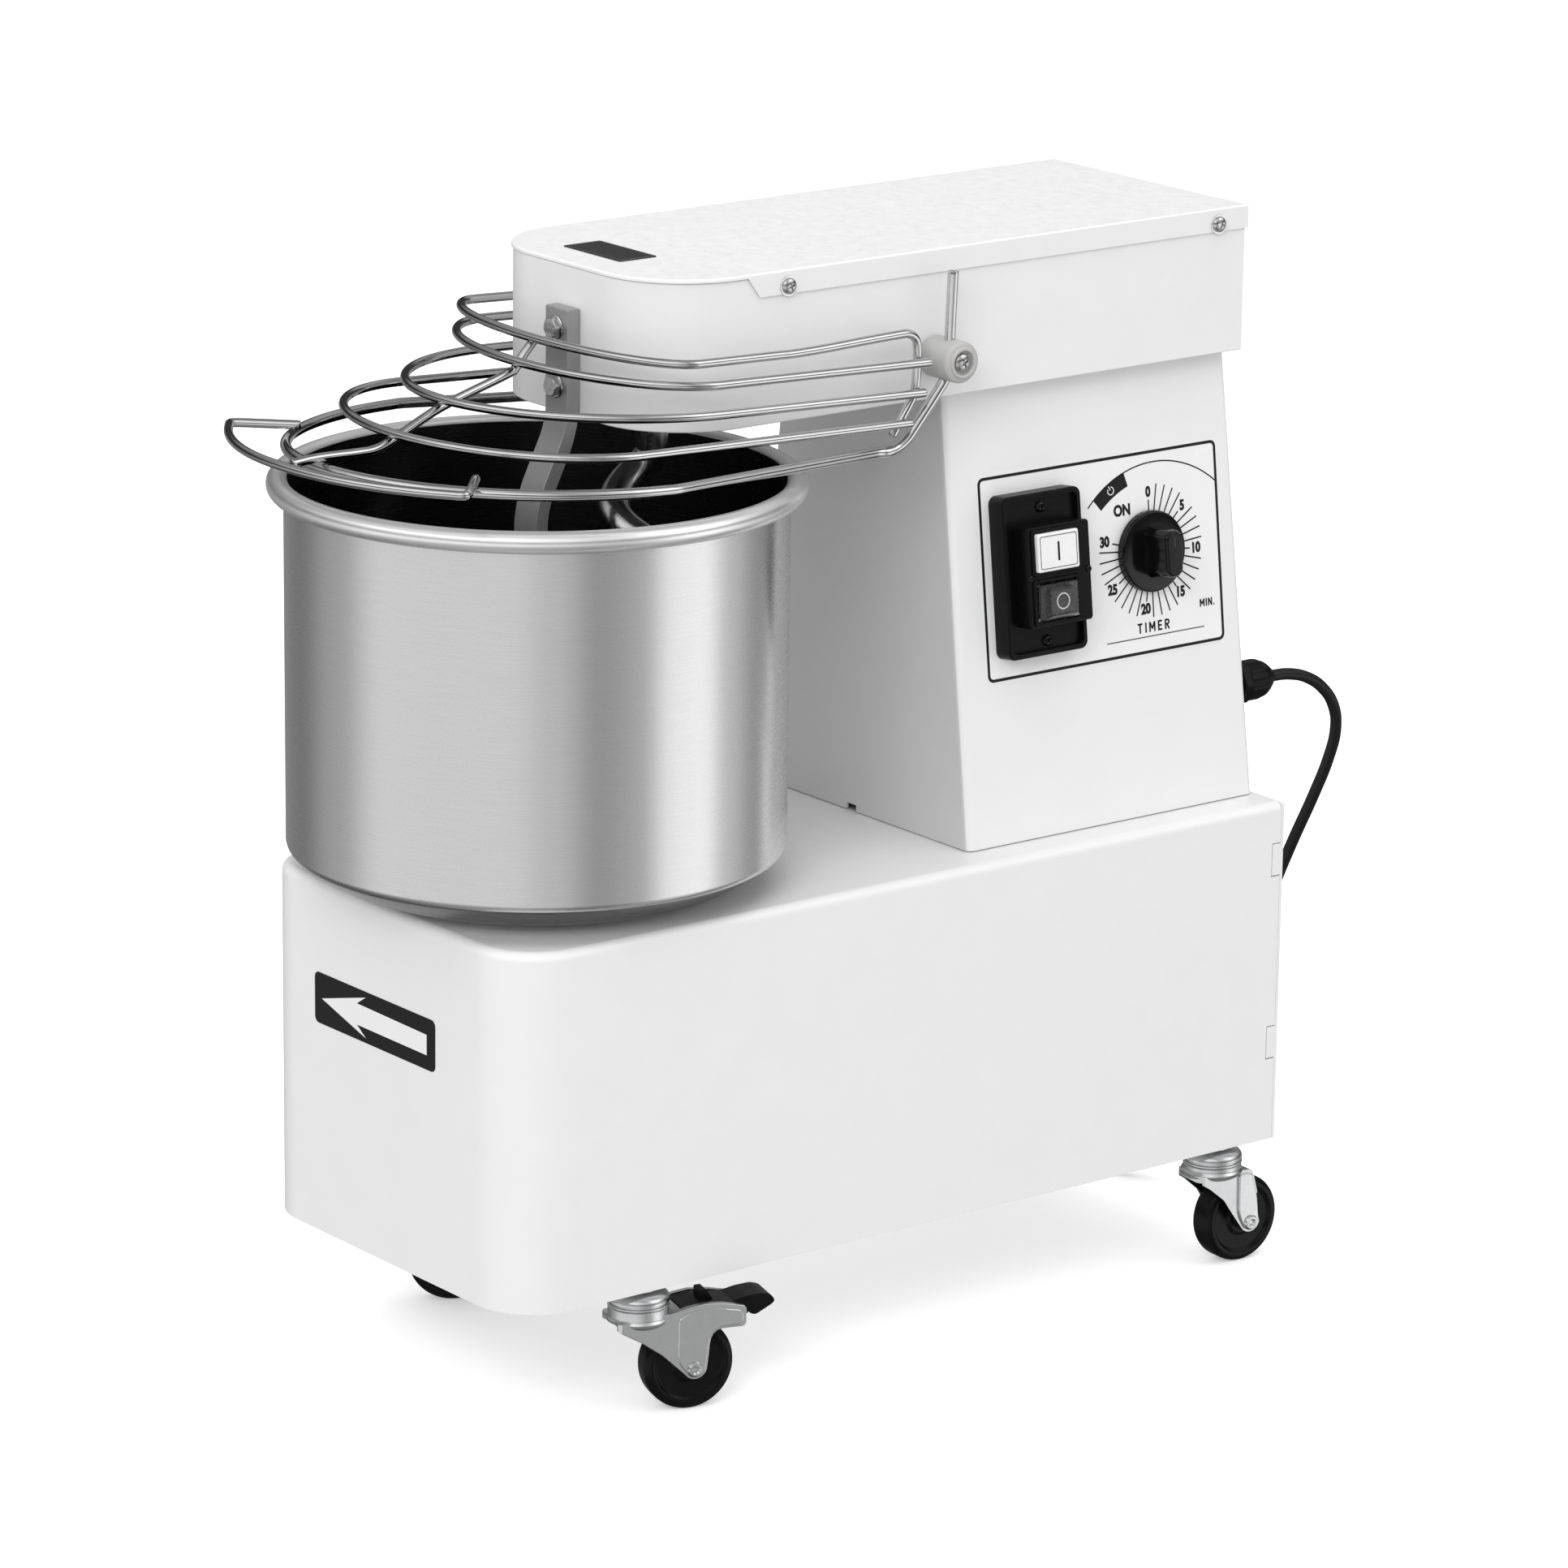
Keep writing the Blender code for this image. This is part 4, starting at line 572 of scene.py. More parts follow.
def rectangle(centre, size, corner, count=6):
    """A rectangle with round corners, counterclockwise."""
    half_x = size[0] / 2 - corner
    half_y = size[1] / 2 - corner
    points = []
    for x, y, start in ((1, 1, 0), (-1, 1, 90), (-1, -1, 180), (1, -1, 270)):
        points += arc((centre[0] + x * half_x, centre[1] + y * half_y), corner, start, start + 90, count)
    return points


def softened(outline, radius, count=5):
    """The closed outline with each corner replaced by a short curve."""
    points = []
    total = len(outline)
    for i in range(total):
        corner = Vector(outline[i])
        before = Vector(outline[i - 1]) - corner
        after = Vector(outline[(i + 1) % total]) - corner
        reach = min(radius, before.length * 0.45, after.length * 0.45)
        start = corner + before.normalized() * reach
        end = corner + after.normalized() * reach
        for k in range(count + 1):
            t = k / count
            points.append(tuple(start * (1 - t) ** 2 + corner * 2 * t * (1 - t) + end * t**2))
    return points


def front_outline(half, front, rear, corner, count=20):
    """A rectangle seen from above whose two front corners are round."""
    left = arc((-half + corner, front + corner), corner, 180.0, 270.0, count)
    right = arc((half - corner, front + corner), corner, 270.0, 360.0, count)
    return left + right + [(half, rear), (-half, rear)]


def block(low, high, edge=0.0, place=Matrix()):
    """A box between two corners with rounded edges."""
    low = Vector(low)
    high = Vector(high)
    shape = bmesh.new()
    bmesh.ops.create_cube(shape, size=1.0)
    bmesh.ops.scale(shape, vec=high - low, verts=shape.verts)
    bmesh.ops.translate(shape, vec=(low + high) / 2, verts=shape.verts)
    if edge:
        bmesh.ops.bevel(shape, geom=shape.edges[:], offset=edge, segments=3, profile=0.5, affect="EDGES")
    return placed(shape, place)


def smooth_path(points, spacing):
    """Points about spacing apart on a Catmull-Rom curve through the given ones."""
    route = [Vector(p) for p in points]
    ends = [2 * route[0] - route[1]] + route + [2 * route[-1] - route[-2]]
    fine = []
    for a, b, c, d in zip(ends, ends[1:], ends[2:], ends[3:]):
        count = max(2, math.ceil((c - b).length / spacing))
        for i in range(count):
            t = i / count
            even = 2 * b + (c - a) * t
            odd = (2 * a - 5 * b + 4 * c - d) * t**2 + (3 * b - a - 3 * c + d) * t**3
            fine.append((even + odd) / 2)
    return fine + [route[-1]]


def tube(points, radius, sides=20, tip=0.25, place=Matrix()):
    """A round bar along points, its ends slightly chamfered."""
    points = [Vector(p) for p in points]
    normal = (points[1] - points[0]).orthogonal().normalized()
    rings = []
    last = len(points) - 1
    for i, point in enumerate(points):
        along = (points[min(i + 1, last)] - points[max(i - 1, 0)]).normalized()
        normal = (normal - along * normal.dot(along)).normalized()
        across = along.cross(normal)
        turns = [(cos(2 * pi * k / sides), sin(2 * pi * k / sides)) for k in range(sides)]
        scales = [(0.0, 1.0)]
        if i == 0:
            scales = [(0.0, 1.0 - tip), (tip * radius * 0.4, 1.0 - tip * 0.3), (tip * radius, 1.0)]
        if i == last:
            scales = [(-tip * radius, 1.0), (-tip * radius * 0.4, 1.0 - tip * 0.3), (0.0, 1.0 - tip)]
        for shift, scale in scales:
            centre = point + along * shift
            rings.append([centre + (normal * c + across * s) * radius * scale for c, s in turns])
    return placed(loft(rings), place)


def operand(shape):
    mesh = bpy.data.meshes.new("operand")
    shape.to_mesh(mesh)
    shape.free()
    return linked("operand", mesh)


def combined(shape, *steps):
    """The shape after Boolean steps, each (operation, shape)."""
    target = operand(shape)
    others = []
    for operation, other in steps:
        others.append(operand(other))
        modifier = target.modifiers.new("step", "BOOLEAN")
        modifier.operation = operation
        modifier.object = others[-1]
        modifier.solver = "EXACT"
    result = evaluated(target, WELD)
    for one in others + [target]:
        held = one.data
        bpy.data.objects.remove(one, do_unlink=True)
        bpy.data.meshes.remove(held)
    return result


def evaluated(source, weld):
    """The mesh that an object's modifiers or text give, with points closer than weld joined."""
    bpy.context.view_layer.update()
    graph = bpy.context.evaluated_depsgraph_get()
    mesh = bpy.data.meshes.new_from_object(source.evaluated_get(graph))
    result = bmesh.new()
    result.from_mesh(mesh)
    bmesh.ops.remove_doubles(result, verts=result.verts, dist=weld)
    bpy.data.meshes.remove(mesh)
    return result


def cut(shape, *holes):
    """The shape less each of the others."""
    return combined(shape, *(("DIFFERENCE", hole) for hole in holes))


def merged(*shapes):
    """Several shapes as one mesh."""
    result = bmesh.new()
    for shape in shapes:
        mesh = bpy.data.meshes.new("part")
        shape.to_mesh(mesh)
        shape.free()
        result.from_mesh(mesh)
        bpy.data.meshes.remove(mesh)
    return result


def duplicate(shape, place):
    return placed(shape.copy(), place)


# ---- camera, light and floor


def make_camera():
    back = Vector(
        (
            sin(CAMERA_AZIMUTH) * cos(CAMERA_ELEVATION),
            -cos(CAMERA_AZIMUTH) * cos(CAMERA_ELEVATION),
            sin(CAMERA_ELEVATION),
        )
    )
    level = Vector((cos(CAMERA_AZIMUTH), sin(CAMERA_AZIMUTH), 0.0))
    above = back.cross(level)
    right = level * cos(CAMERA_ROLL) + above * sin(CAMERA_ROLL)
    up = above * cos(CAMERA_ROLL) - level * sin(CAMERA_ROLL)
    data = bpy.data.cameras.new("camera")
    data.sensor_width = 36.0
    data.lens = CAMERA_LENS
    data.clip_start = 0.1
    data.clip_end = 60.0
    camera = linked("camera", data)
    camera.matrix_world = Matrix(
        (
            (right.x, up.x, back.x, CAMERA_AT[0]),
            (right.y, up.y, back.y, CAMERA_AT[1]),
            (right.z, up.z, back.z, CAMERA_AT[2]),
            (0.0, 0.0, 0.0, 1.0),
        )
    )
    bpy.context.scene.camera = camera


# Brightness of the studio round the horizon as seen in polished metal: share of a turn, value
STUDIO_ROUND = (
    (0.00, 0.30), (0.13, 0.22), (0.22, 0.50), (0.30, 1.00), (0.47, 1.02), (0.53, 0.80),
    (0.585, 0.46), (0.64, 0.60), (0.685, 1.35), (0.735, 1.45), (0.775, 0.75), (0.84, 0.34),
    (1.00, 0.30),
)
# Its brightness from straight down to straight up: share of half a turn, value
STUDIO_HEIGHT = (
    (0.0, 0.45), (0.18, 0.28), (0.30, 0.34), (0.37, 0.90), (0.46, 1.00), (0.515, 0.14),
    (0.565, 0.14), (0.62, 1.15), (0.70, 1.45), (0.78, 0.95), (0.87, 0.55), (1.0, 0.90),
)


# Even light for paint, over the same half turn
SKY_HEIGHT = ((0.0, 0.60), (0.44, 0.76), (0.52, 0.98), (0.75, 1.00), (1.0, 1.00))


def ramp(tree, value, stops):
    made = tree.nodes.new("ShaderNodeValToRGB")
    made.color_ramp.interpolation = "EASE"
    elements = made.color_ramp.elements
    while len(elements) < len(stops):
        elements.new(0.5)
    highest = max(v for _, v in stops)
    for element, (place, v) in zip(elements, stops):
        element.position = place
        element.color = (*grey(v / highest), 1.0)
    tree.links.new(value, made.inputs["Fac"])
    return math_node(tree, "MULTIPLY", made.outputs["Color"], highest)


def math_node(tree, operation, *values):
    made = tree.nodes.new("ShaderNodeMath")
    made.operation = operation
    for socket, value in zip(made.inputs, values):
        if isinstance(value, (int, float)):
            socket.default_value = value
        else:
            tree.links.new(value, socket)
    return made.outputs["Value"]


def make_world():
    """White for the eye and even light for paint, with soft panels that polished metal reflects."""
    world = bpy.data.worlds.new("studio")
    bpy.context.scene.world = world
    world.use_nodes = True
    tree = world.node_tree
    background = tree.nodes["Background"]
    background.inputs["Color"].default_value = WHITE
    where = tree.nodes.new("ShaderNodeTexCoord")
    split = tree.nodes.new("ShaderNodeSeparateXYZ")
    tree.links.new(where.outputs["Generated"], split.inputs["Vector"])
    turn = math_node(tree, "ARCTAN2", split.outputs["Y"], split.outputs["X"])
    # the share is one half straight back towards the camera
    shift = 1.5 - (CAMERA_AZIMUTH - pi / 2) / (2 * pi)
    share = math_node(tree, "FRACT", math_node(tree, "MULTIPLY_ADD", turn, 0.5 / pi, shift))
    height = math_node(tree, "ARCSINE", split.outputs["Z"])
    level = math_node(tree, "MULTIPLY_ADD", height, 1 / pi, 0.5)
    panels = math_node(tree, "MULTIPLY", ramp(tree, share, STUDIO_ROUND), ramp(tree, level, STUDIO_HEIGHT))
    even = ramp(tree, level, SKY_HEIGHT)
    rays = tree.nodes.new("ShaderNodeLightPath").outputs
    shiny = math_node(tree, "MULTIPLY", panels, rays["Is Glossy Ray"])
    flat = math_node(tree, "MULTIPLY", even, math_node(tree, "SUBTRACT", 1.0, rays["Is Glossy Ray"]))
    light = math_node(tree, "ADD", shiny, flat)
    seen = math_node(tree, "MULTIPLY", rays["Is Camera Ray"], SKY_SEEN)
    unseen = math_node(tree, "SUBTRACT", 1.0, rays["Is Camera Ray"])
    total = math_node(tree, "ADD", seen, math_node(tree, "MULTIPLY", light, unseen))
    tree.links.new(total, background.inputs["Strength"])


def area_light(name, at, size, power):
    data = bpy.data.lights.new(name, "AREA")
    data.shape = "RECTANGLE"
    data.size, data.size_y = size
    data.energy = power
    lamp = linked(name, data)
    lamp.location = at
    lamp.rotation_euler = (Vector(LIGHT_TARGET) - Vector(at)).to_track_quat("-Z", "Y").to_euler()
    lamp.visible_camera = False
    lamp.visible_glossy = False


def make_floor():
    shape = bmesh.new()
    bmesh.ops.create_grid(shape, x_segments=8, y_segments=8, size=12.0)
    mesh = bpy.data.meshes.new("floor")
    shape.to_mesh(mesh)
    shape.free()
    cover = Finish("pale_floor", grey(0.93), 0.7, Emission_Strength=FLOOR_GLOW, Emission_Color=WHITE)
    mesh.materials.append(cover.mottled(3.0, 0.004).patchy(8.0, 0.05).material)
    floor = linked("floor", mesh)
    floor.visible_glossy = False
    floor.visible_diffuse = False


make_camera()


# ---- mains cable, plug and gland


def coil_points():
    """The coil's centre line: inward along the floor, then outward on top of itself."""
    points = []
    steps = 16
    inner = COIL_OUTER - COIL_PITCH * COIL_TURNS / 2
    for i in range(1, round(COIL_TURNS * steps)):
        turn = i / steps
        away = turn - COIL_TURNS / 2
        radius = inner + COIL_PITCH * math.sqrt(away * away + 0.01)
        angle = radians(270) - 2 * pi * turn
        lift = min(1.0, max(0.0, (away + 0.3) / 0.6))
        z = ON_FLOOR + (2 * CABLE + 0.0001) * (1 - cos(pi * lift)) / 2
        points.append((COIL[0] + radius * cos(angle), COIL[1] + radius * sin(angle), z))
    return points


def mains_cable():
    points = list(CABLE_ROUTE) + coil_points() + list(TAIL_ROUTE)
    data = bpy.data.curves.new("mains_cable_cord", "CURVE")
    data.dimensions = "3D"
    spline = data.splines.new("BEZIER")
    spline.bezier_points.add(len(points) - 1)
    for node, place in zip(spline.bezier_points, points):
        node.co = place
        node.handle_left_type = "AUTO"
        node.handle_right_type = "AUTO"
    spline.resolution_u = 6
    data.bevel_depth = CABLE
    data.bevel_resolution = 5
    data.use_fill_caps = True
    data.materials.append(FINISH["rubber"])
    cord = linked("mains_cable_cord", data)
    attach(cord, "machine")
    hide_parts("mains_cable", "mains_cable_coil", "mains_cable_tail")
    return cord


def mains_plug():
    """Round two-pin plug on its side with a ribbed sleeve on the cable."""
    place = Matrix.Translation((PLUG_BACK, PLUG_Y, PLUG_RADIUS + GAP)) @ Matrix.Rotation(-pi / 2, 4, "Y")
    profile = mm((0, 0), (4.6, 0), (5, -0.4))
    for ring in range(5):
        z = -0.0018 - 0.0028 * ring
        radius = 0.0050 + 0.0003 * ring
        profile += [(radius, z), (radius - 0.0009, z - 0.0004)]
        profile += [(radius - 0.0009, z - 0.0014), (radius + 0.0003, z - 0.0018)]
    profile += mm((6.6, -16.6), (9, -18), (12.8, -20.5), (16, -23.6), (17.8, -26.6), (18.4, -29))
    profile += [(PLUG_RADIUS, -0.0320), (PLUG_RADIUS, -0.0392)]
    profile += [(PLUG_RADIUS - 0.0008, -0.0400), (0.0, -0.0400)]
    grooves = []
    for side in (-1, 1):
        for x in (-0.009, 0.0, 0.009):
            low = (side * 0.0175 - 0.0012, x - 0.0011, -0.0380)
            high = (side * 0.0175 + 0.0022, x + 0.0011, -0.0300)
            grooves.append(block(low, high, 0.0004))
    body = placed(cut(lathe(profile), *grooves), place)
    pins = []
    for y in (-0.0095, 0.0095):
        pins.append(tube([(0.0, y, z) for z in (-0.0396, -0.0480, -0.0580)], 0.0024, 24, 0.6, place))
    return [
        piece("mains_plug_body", body, "plastic", ["mains_plug"]),
        piece("mains_plug_pins", merged(*pins), "bolt"),
    ]


def cable_gland():
    """Gland with a hexagon at the wall and a fluted domed nut that tapers onto the cable."""
    place = Matrix.Translation((GLAND_X, GLAND_END, GLAND_Z)) @ Matrix.Rotation(-pi / 2, 4, "X")
    wall = COLUMN_FOOT_REAR - GLAND_END - 0.0005
    hexagon = softened(circle((0.0, 0.0), 0.0122, 6), 0.0008)
    base = prism(hexagon, wall + 0.0004, wall + 0.0056, 0.0005)
    inner, outer = wall - 0.0090, wall + 0.0006
    thread = lathe([(0.0, inner), (0.0076, inner), (0.0076, outer), (0.0, outer)], 32)
    # height, radius and share of the flutes' depth
    levels = ((wall + 0.0054, 0.0108, 0.0), (wall + 0.0060, 0.0112, 0.6), (-0.0110, 0.0112, 1.0))
    levels += ((-0.0090, 0.0108, 0.9), (-0.0065, 0.0098, 0.5), (-0.0042, 0.0084, 0.15))
    levels += ((-0.0024, 0.0070, 0.0), (-0.0010, 0.0058, 0.0), (0.0, 0.0050, 0.0), (0.0, 0.0038, 0.0))
    rings = []
    for z, radius, flute in levels:
        ring = []
        for k in range(96):
            a = 2 * pi * k / 96
            r = radius - GLAND_FLUTE_DEPTH * flute * (0.5 + 0.5 * cos(GLAND_FLUTES * a)) ** 2
            ring.append((r * cos(a), r * sin(a), z))
        rings.append(ring)
    gland = placed(merged(base, thread, loft(rings)), place)
    piece("cable_gland_nut", gland, "plastic", ["cable_gland"])


cord_piece = mains_cable()
plug_pieces = mains_plug()
cable_gland()
make_world()
for light in LIGHTS:
    area_light(*light)
make_floor()


# ---- screws


def pan_screw_shape(radius, height):
    """Domed head with a cross recess, its seat on z = 0."""
    dome = [(0.0, height)]
    for k in range(1, 8):
        a = pi / 2 * k / 7
        dome.append((radius * sin(a) ** 0.8, height * 0.25 + height * 0.75 * cos(a)))
    dome += [(radius, 0.0), (0.0, 0.0)]
    arm = radius * 0.52
    width = radius * 0.13
    low = height * 0.35
    high = height + 0.001
    cross = [block((-x, -y, low), (x, y, high)) for x, y in ((arm, width), (width, arm))]
    return cut(lathe(dome, 40), *cross)


def facing(at, direction, spin=0.3):
    """Places something that stands on z = 0 at a point so that it faces a direction."""
    turn = Vector(direction).to_track_quat("Z", "Y").to_matrix().to_4x4()
    return Matrix.Translation(at) @ turn @ Matrix.Rotation(spin, 4, "Z")


# ---- housings


def fillet_rings(outline_at, low, high, radius, steps=8):
    """Rings of an upright shell whose top edge is rounded by radius."""
    rings = [(low, 0.0), (high - radius, 0.0)]
    for k in range(1, steps + 1):
        a = pi / 2 * k / steps
        rings.append((high - radius + radius * sin(a), radius * (1 - cos(a))))
    return [[(x, y, z) for x, y in outline_at(d)] for z, d in rings]


def base_housing():
    """Folded box open below and behind, with openings in its top and a notch for each tab."""
    rear = BASE_REAR - SHEET - GAP

    def outline(d):
        return front_outline(BASE_HALF - d, BASE_FRONT + d, rear, BASE_CORNER - d, 24)

    inside = front_outline(BASE_HALF - SHEET, BASE_FRONT + SHEET, BASE_REAR + 0.01, BASE_CORNER - SHEET, 24)
    holes = [prism(inside, BASE_BOTTOM - 0.004, BASE_TOP - SHEET)]
    for y, radius in BASE_OPENINGS:
        holes.append(prism(circle((0.0, y), radius, 40), BASE_TOP - 0.008, BASE_TOP + 0.004))
    for level in TAB_HEIGHTS:
        for side in (-1, 1):
            low = (side * BASE_HALF - 0.004, rear - TAB_DEPTH, level - TAB_LENGTH / 2)
            high = (side * BASE_HALF + 0.004, rear + 0.004, level + TAB_LENGTH / 2)
            holes.append(block(low, high))
    shell = cut(loft(fillet_rings(outline, BASE_BOTTOM, BASE_TOP, 0.005)), *holes)
    piece("base_shell", shell, "paint", ["base_housing"])


def rear_cover():
    """Plate behind the base with a tab bent round each side at two heights."""
    corner = (BASE_HALF, BASE_REAR, BASE_TOP - 0.0005)
    cover = block((-BASE_HALF, BASE_REAR - SHEET, BASE_BOTTOM), corner, 0.0005)
    slack = 0.0006
    steps = []
    for level in TAB_HEIGHTS:
        for side in (-1, 1):
            edges = sorted((side * BASE_HALF, side * (BASE_HALF - SHEET)))
            low = (edges[0], BASE_REAR - SHEET - GAP - TAB_DEPTH + slack, level - TAB_LENGTH / 2 + slack)
            high = (edges[1], BASE_REAR - SHEET / 2, level + TAB_LENGTH / 2 - slack)
            steps.append(("UNION", block(low, high, 0.0003)))
    piece("rear_cover_plate", combined(cover, *steps), "paint", ["base_rear_cover"])


def column_ring(z, half, rear, inward):
    """The column's outline at one height, moved inward by a wall or by nothing."""
    front = COLUMN_FRONT + inward
    rear = rear - inward
    size = (2 * (half - inward), rear - front)
    outline = rectangle((0.0, (front + rear) / 2), size, COLUMN_EDGE - inward, 7)
    return [(x, y, z) for x, y in outline]


def column_housing():
    """Tapered tube with openings for the switch, timer and gland and a notch at its foot; its face toward
    the bowl gets a darker paint as painted shade.
    """
    low = BASE_TOP + 2 * GAP
    high = HEAD_BOTTOM - GAP
    foot = (low, COLUMN_FOOT_HALF, COLUMN_FOOT_REAR)
    top = (high, COLUMN_TOP_HALF, COLUMN_TOP_REAR)
    corners = ((foot, 0.0), (top, 0.0), (top, SHEET), (foot, SHEET), (foot, 0.0))
    shape = loft([column_ring(*end, inward) for end, inward in corners], capped=False)
    bmesh.ops.remove_doubles(shape, verts=shape.verts, dist=WELD)
    bmesh.ops.recalc_face_normals(shape, faces=shape.faces)
    y, z = SWITCH
    shape = cut(
        shape,
        block((-0.02, y - 0.0218, z - 0.0313), (0.02, y + 0.0218, z + 0.0313), place=PANEL),
        tube([(-0.02, *KNOB), (0.02, *KNOB)], 0.0045, 24, 0.0, PANEL),
        tube([(GLAND_X, 0.25, GLAND_Z), (GLAND_X, 0.29, GLAND_Z)], 0.0080, 24, 0.0),
        block((-0.0085, COLUMN_FRONT - 0.004, low - 0.004), (0.0007, COLUMN_FRONT + 0.004, low + 0.0035)),
    )
    # faces toward the bowl take the darker paint: painted shade from the bowl and head
    for face in shape.faces:
        painted_shade_face = face.normal.y < -0.9 and face.calc_center_median().y < COLUMN_FRONT + 0.001
        face.material_index = int(painted_shade_face)
    piece("column_shell", shape, ("paint", "paint_shaded"), ["column_housing"])


def head_housing():
    """Tray with a rounded front, open above, with openings for the spiral, the drive and the guard pins."""
    top = LID_TOP - SHEET - GAP
    outline = front_outline(HEAD_HALF, HEAD_FRONT, HEAD_REAR, HEAD_CORNER, 28)
    inside = front_outline(HEAD_HALF - SHEET, HEAD_FRONT + SHEET, HEAD_REAR - SHEET, HEAD_CORNER - SHEET)
    below = HEAD_BOTTOM - 0.004
    above = HEAD_BOTTOM + 0.008
    _, pivot_y, pivot_z = GUARD.translation
    shell = cut(
        prism(outline, HEAD_BOTTOM, top, 0.0008),
        prism(inside, HEAD_BOTTOM + SHEET, top + 0.01),
        prism(circle((0.0, SPIRAL_Y), 0.0165), below, above),
        block((-0.045, COLUMN_FRONT + 0.012, below), (0.045, 0.190, above)),
        tube([(-0.1, pivot_y, pivot_z), (0.1, pivot_y, pivot_z)], 0.0038, 24, 0.0),
    )
    piece("head_shell", shell, "paint", ["head_housing"])


def head_lid():
    """Lid whose side skirts start at a slope behind the rounded front."""
    def outline(d):
        return front_outline(LID_HALF - d, HEAD_FRONT - GAP + d, LID_REAR - d, HEAD_CORNER - d, 28)

    under = LID_TOP - LID_SKIRT - 0.004
    ceiling = LID_TOP - SHEET
    hollow = front_outline(HEAD_HALF + GAP, HEAD_FRONT - 0.02, HEAD_REAR + GAP, HEAD_CORNER, 28)
    front = HEAD_FRONT - 0.004
    skirt_end = LID_SKIRT_FRONT + LID_SKIRT_SLOPE
    side = [(front, ceiling), (LID_SKIRT_FRONT, ceiling), (skirt_end, under), (front, under)]
    plate = cut(
        loft(fillet_rings(outline, LID_TOP - LID_SKIRT, LID_TOP, 0.0012, 5)),
        prism(hollow, under, ceiling),
        prism(side, -0.1, 0.1, place=SIDE),
    )
    piece("lid_plate", plate, "paint", ["head_lid"])


def lid_screws():
    screw = pan_screw_shape(0.0044, 0.0026)
    washer = lathe(mm((0, 0.5), (5.2, 0.5), (5.4, 0), (0, 0)), 32)
    side = LID_HALF + 0.0001
    rear = LID_REAR + 0.0001
    # place, facing and turn of the cross for each
    seats = [((x * side, y, 0.5757), (x, 0, 0), 0.4) for y in (-0.0405, 0.2487) for x in (1, -1)]
    seats += [((x, rear, 0.5775), (0, 1, 0), 0.7) for x in (0.070, -0.070)]
    for number, (at, direction, turn) in enumerate(seats, 1):
        place = facing(at, direction, turn * number)
        piece(f"lid_screw_{number}", merged(duplicate(screw, place), duplicate(washer, place)), "bolt")
    screw.free()
    washer.free()


def lid_badge():
    centre = (-0.0073, -0.0883)
    plate = prism(
        rectangle(centre, (0.0494, 0.0236), 0.0012), LID_TOP + 0.00002, LID_TOP + 0.0006, 0.0002, both=False
    )
    rim = rectangle(centre, (0.0470, 0.0212), 0.0008)
    line = prism(inset(rim, 0.0005), LID_TOP + 0.0001, LID_TOP + 0.001)
    piece("lid_badge", plate, "badge")
    piece("lid_badge_line", cut(prism(rim, LID_TOP + 0.0005, LID_TOP + 0.00068), line), "bolt")


# ---- bowl, spiral and breaker bar


def bowl():
    """Turned bowl with a rolled rim; its outside, rim and inside differ in finish: the inside is darker
    steel as painted shade, and the rim is lighter steel, partly its polish and partly a painted highlight.
    """
    inner = BOWL_RADIUS - BOWL_WALL
    floor = BOWL_BOTTOM + BOWL_WALL
    start = math.degrees(pi - math.acos((BOWL_RIM_RADIUS - inner) / BOWL_RIM_TUBE))
    end = -90.0 - math.degrees(math.asin((BOWL_RIM_RADIUS - BOWL_RADIUS) / BOWL_RIM_TUBE))
    foot = BOWL_FOOT_RADIUS
    corner = BOWL_CORNER_Z
    inside = [(0.0, floor), (0.060, floor), (foot - 0.0040, floor), (foot - 0.0016, floor + 0.0002)]
    inside += [(foot + 0.0006, floor + 0.0009), (inner - 0.0036, corner - 0.0008)]
    inside += [(inner - 0.0014, corner + 0.0008), (inner - 0.0004, corner + 0.0024)]
    inside += [(inner, corner + 0.0046), (inner, corner + 0.06), (inner, corner + 0.12)]
    rim = arc((BOWL_RIM_RADIUS, BOWL_RIM_Z), BOWL_RIM_TUBE, start, end, 26)
    outer = BOWL_RADIUS
    outside = [(outer, BOWL_RIM_Z - 0.0062), (outer, corner + 0.12), (outer, corner + 0.06)]
    outside += [(outer, corner + 0.0034), (outer - 0.0005, corner + 0.0016), (outer - 0.0016, corner)]
    outside += [(outer - 0.0034, corner - 0.0016), (foot + 0.0018, BOWL_BOTTOM + 0.0009)]
    outside += [(foot, BOWL_BOTTOM + 0.0002)]
    outside += [(radius, BOWL_BOTTOM) for radius in (foot - 0.0022, 0.060, 0.0)]
    shape = lathe(inside + rim + outside, 192, place=Matrix.Translation((0.0, BOWL_Y, 0.0)))
    # index 1 is the rim's lighter steel (partly painted highlight), index 2 the inside's darker steel
    # (painted shade)
    for face in shape.faces:
        centre = face.calc_center_median()
        out = Vector((centre.x, centre.y - BOWL_Y))
        if centre.z > BOWL_RIM_Z - BOWL_RIM_TUBE - 0.0002 and out.length > inner:
            face.material_index = 1
        elif out.length < inner + 0.0001 and centre.z > floor - 0.0001:
            face.material_index = 2
    finishes = ("bowl_outside", "bowl_rim_painted_highlight", "bowl_inside_painted_shade")
    piece("bowl_turned", shape, finishes, ["bowl"], "bowl", 50.0)


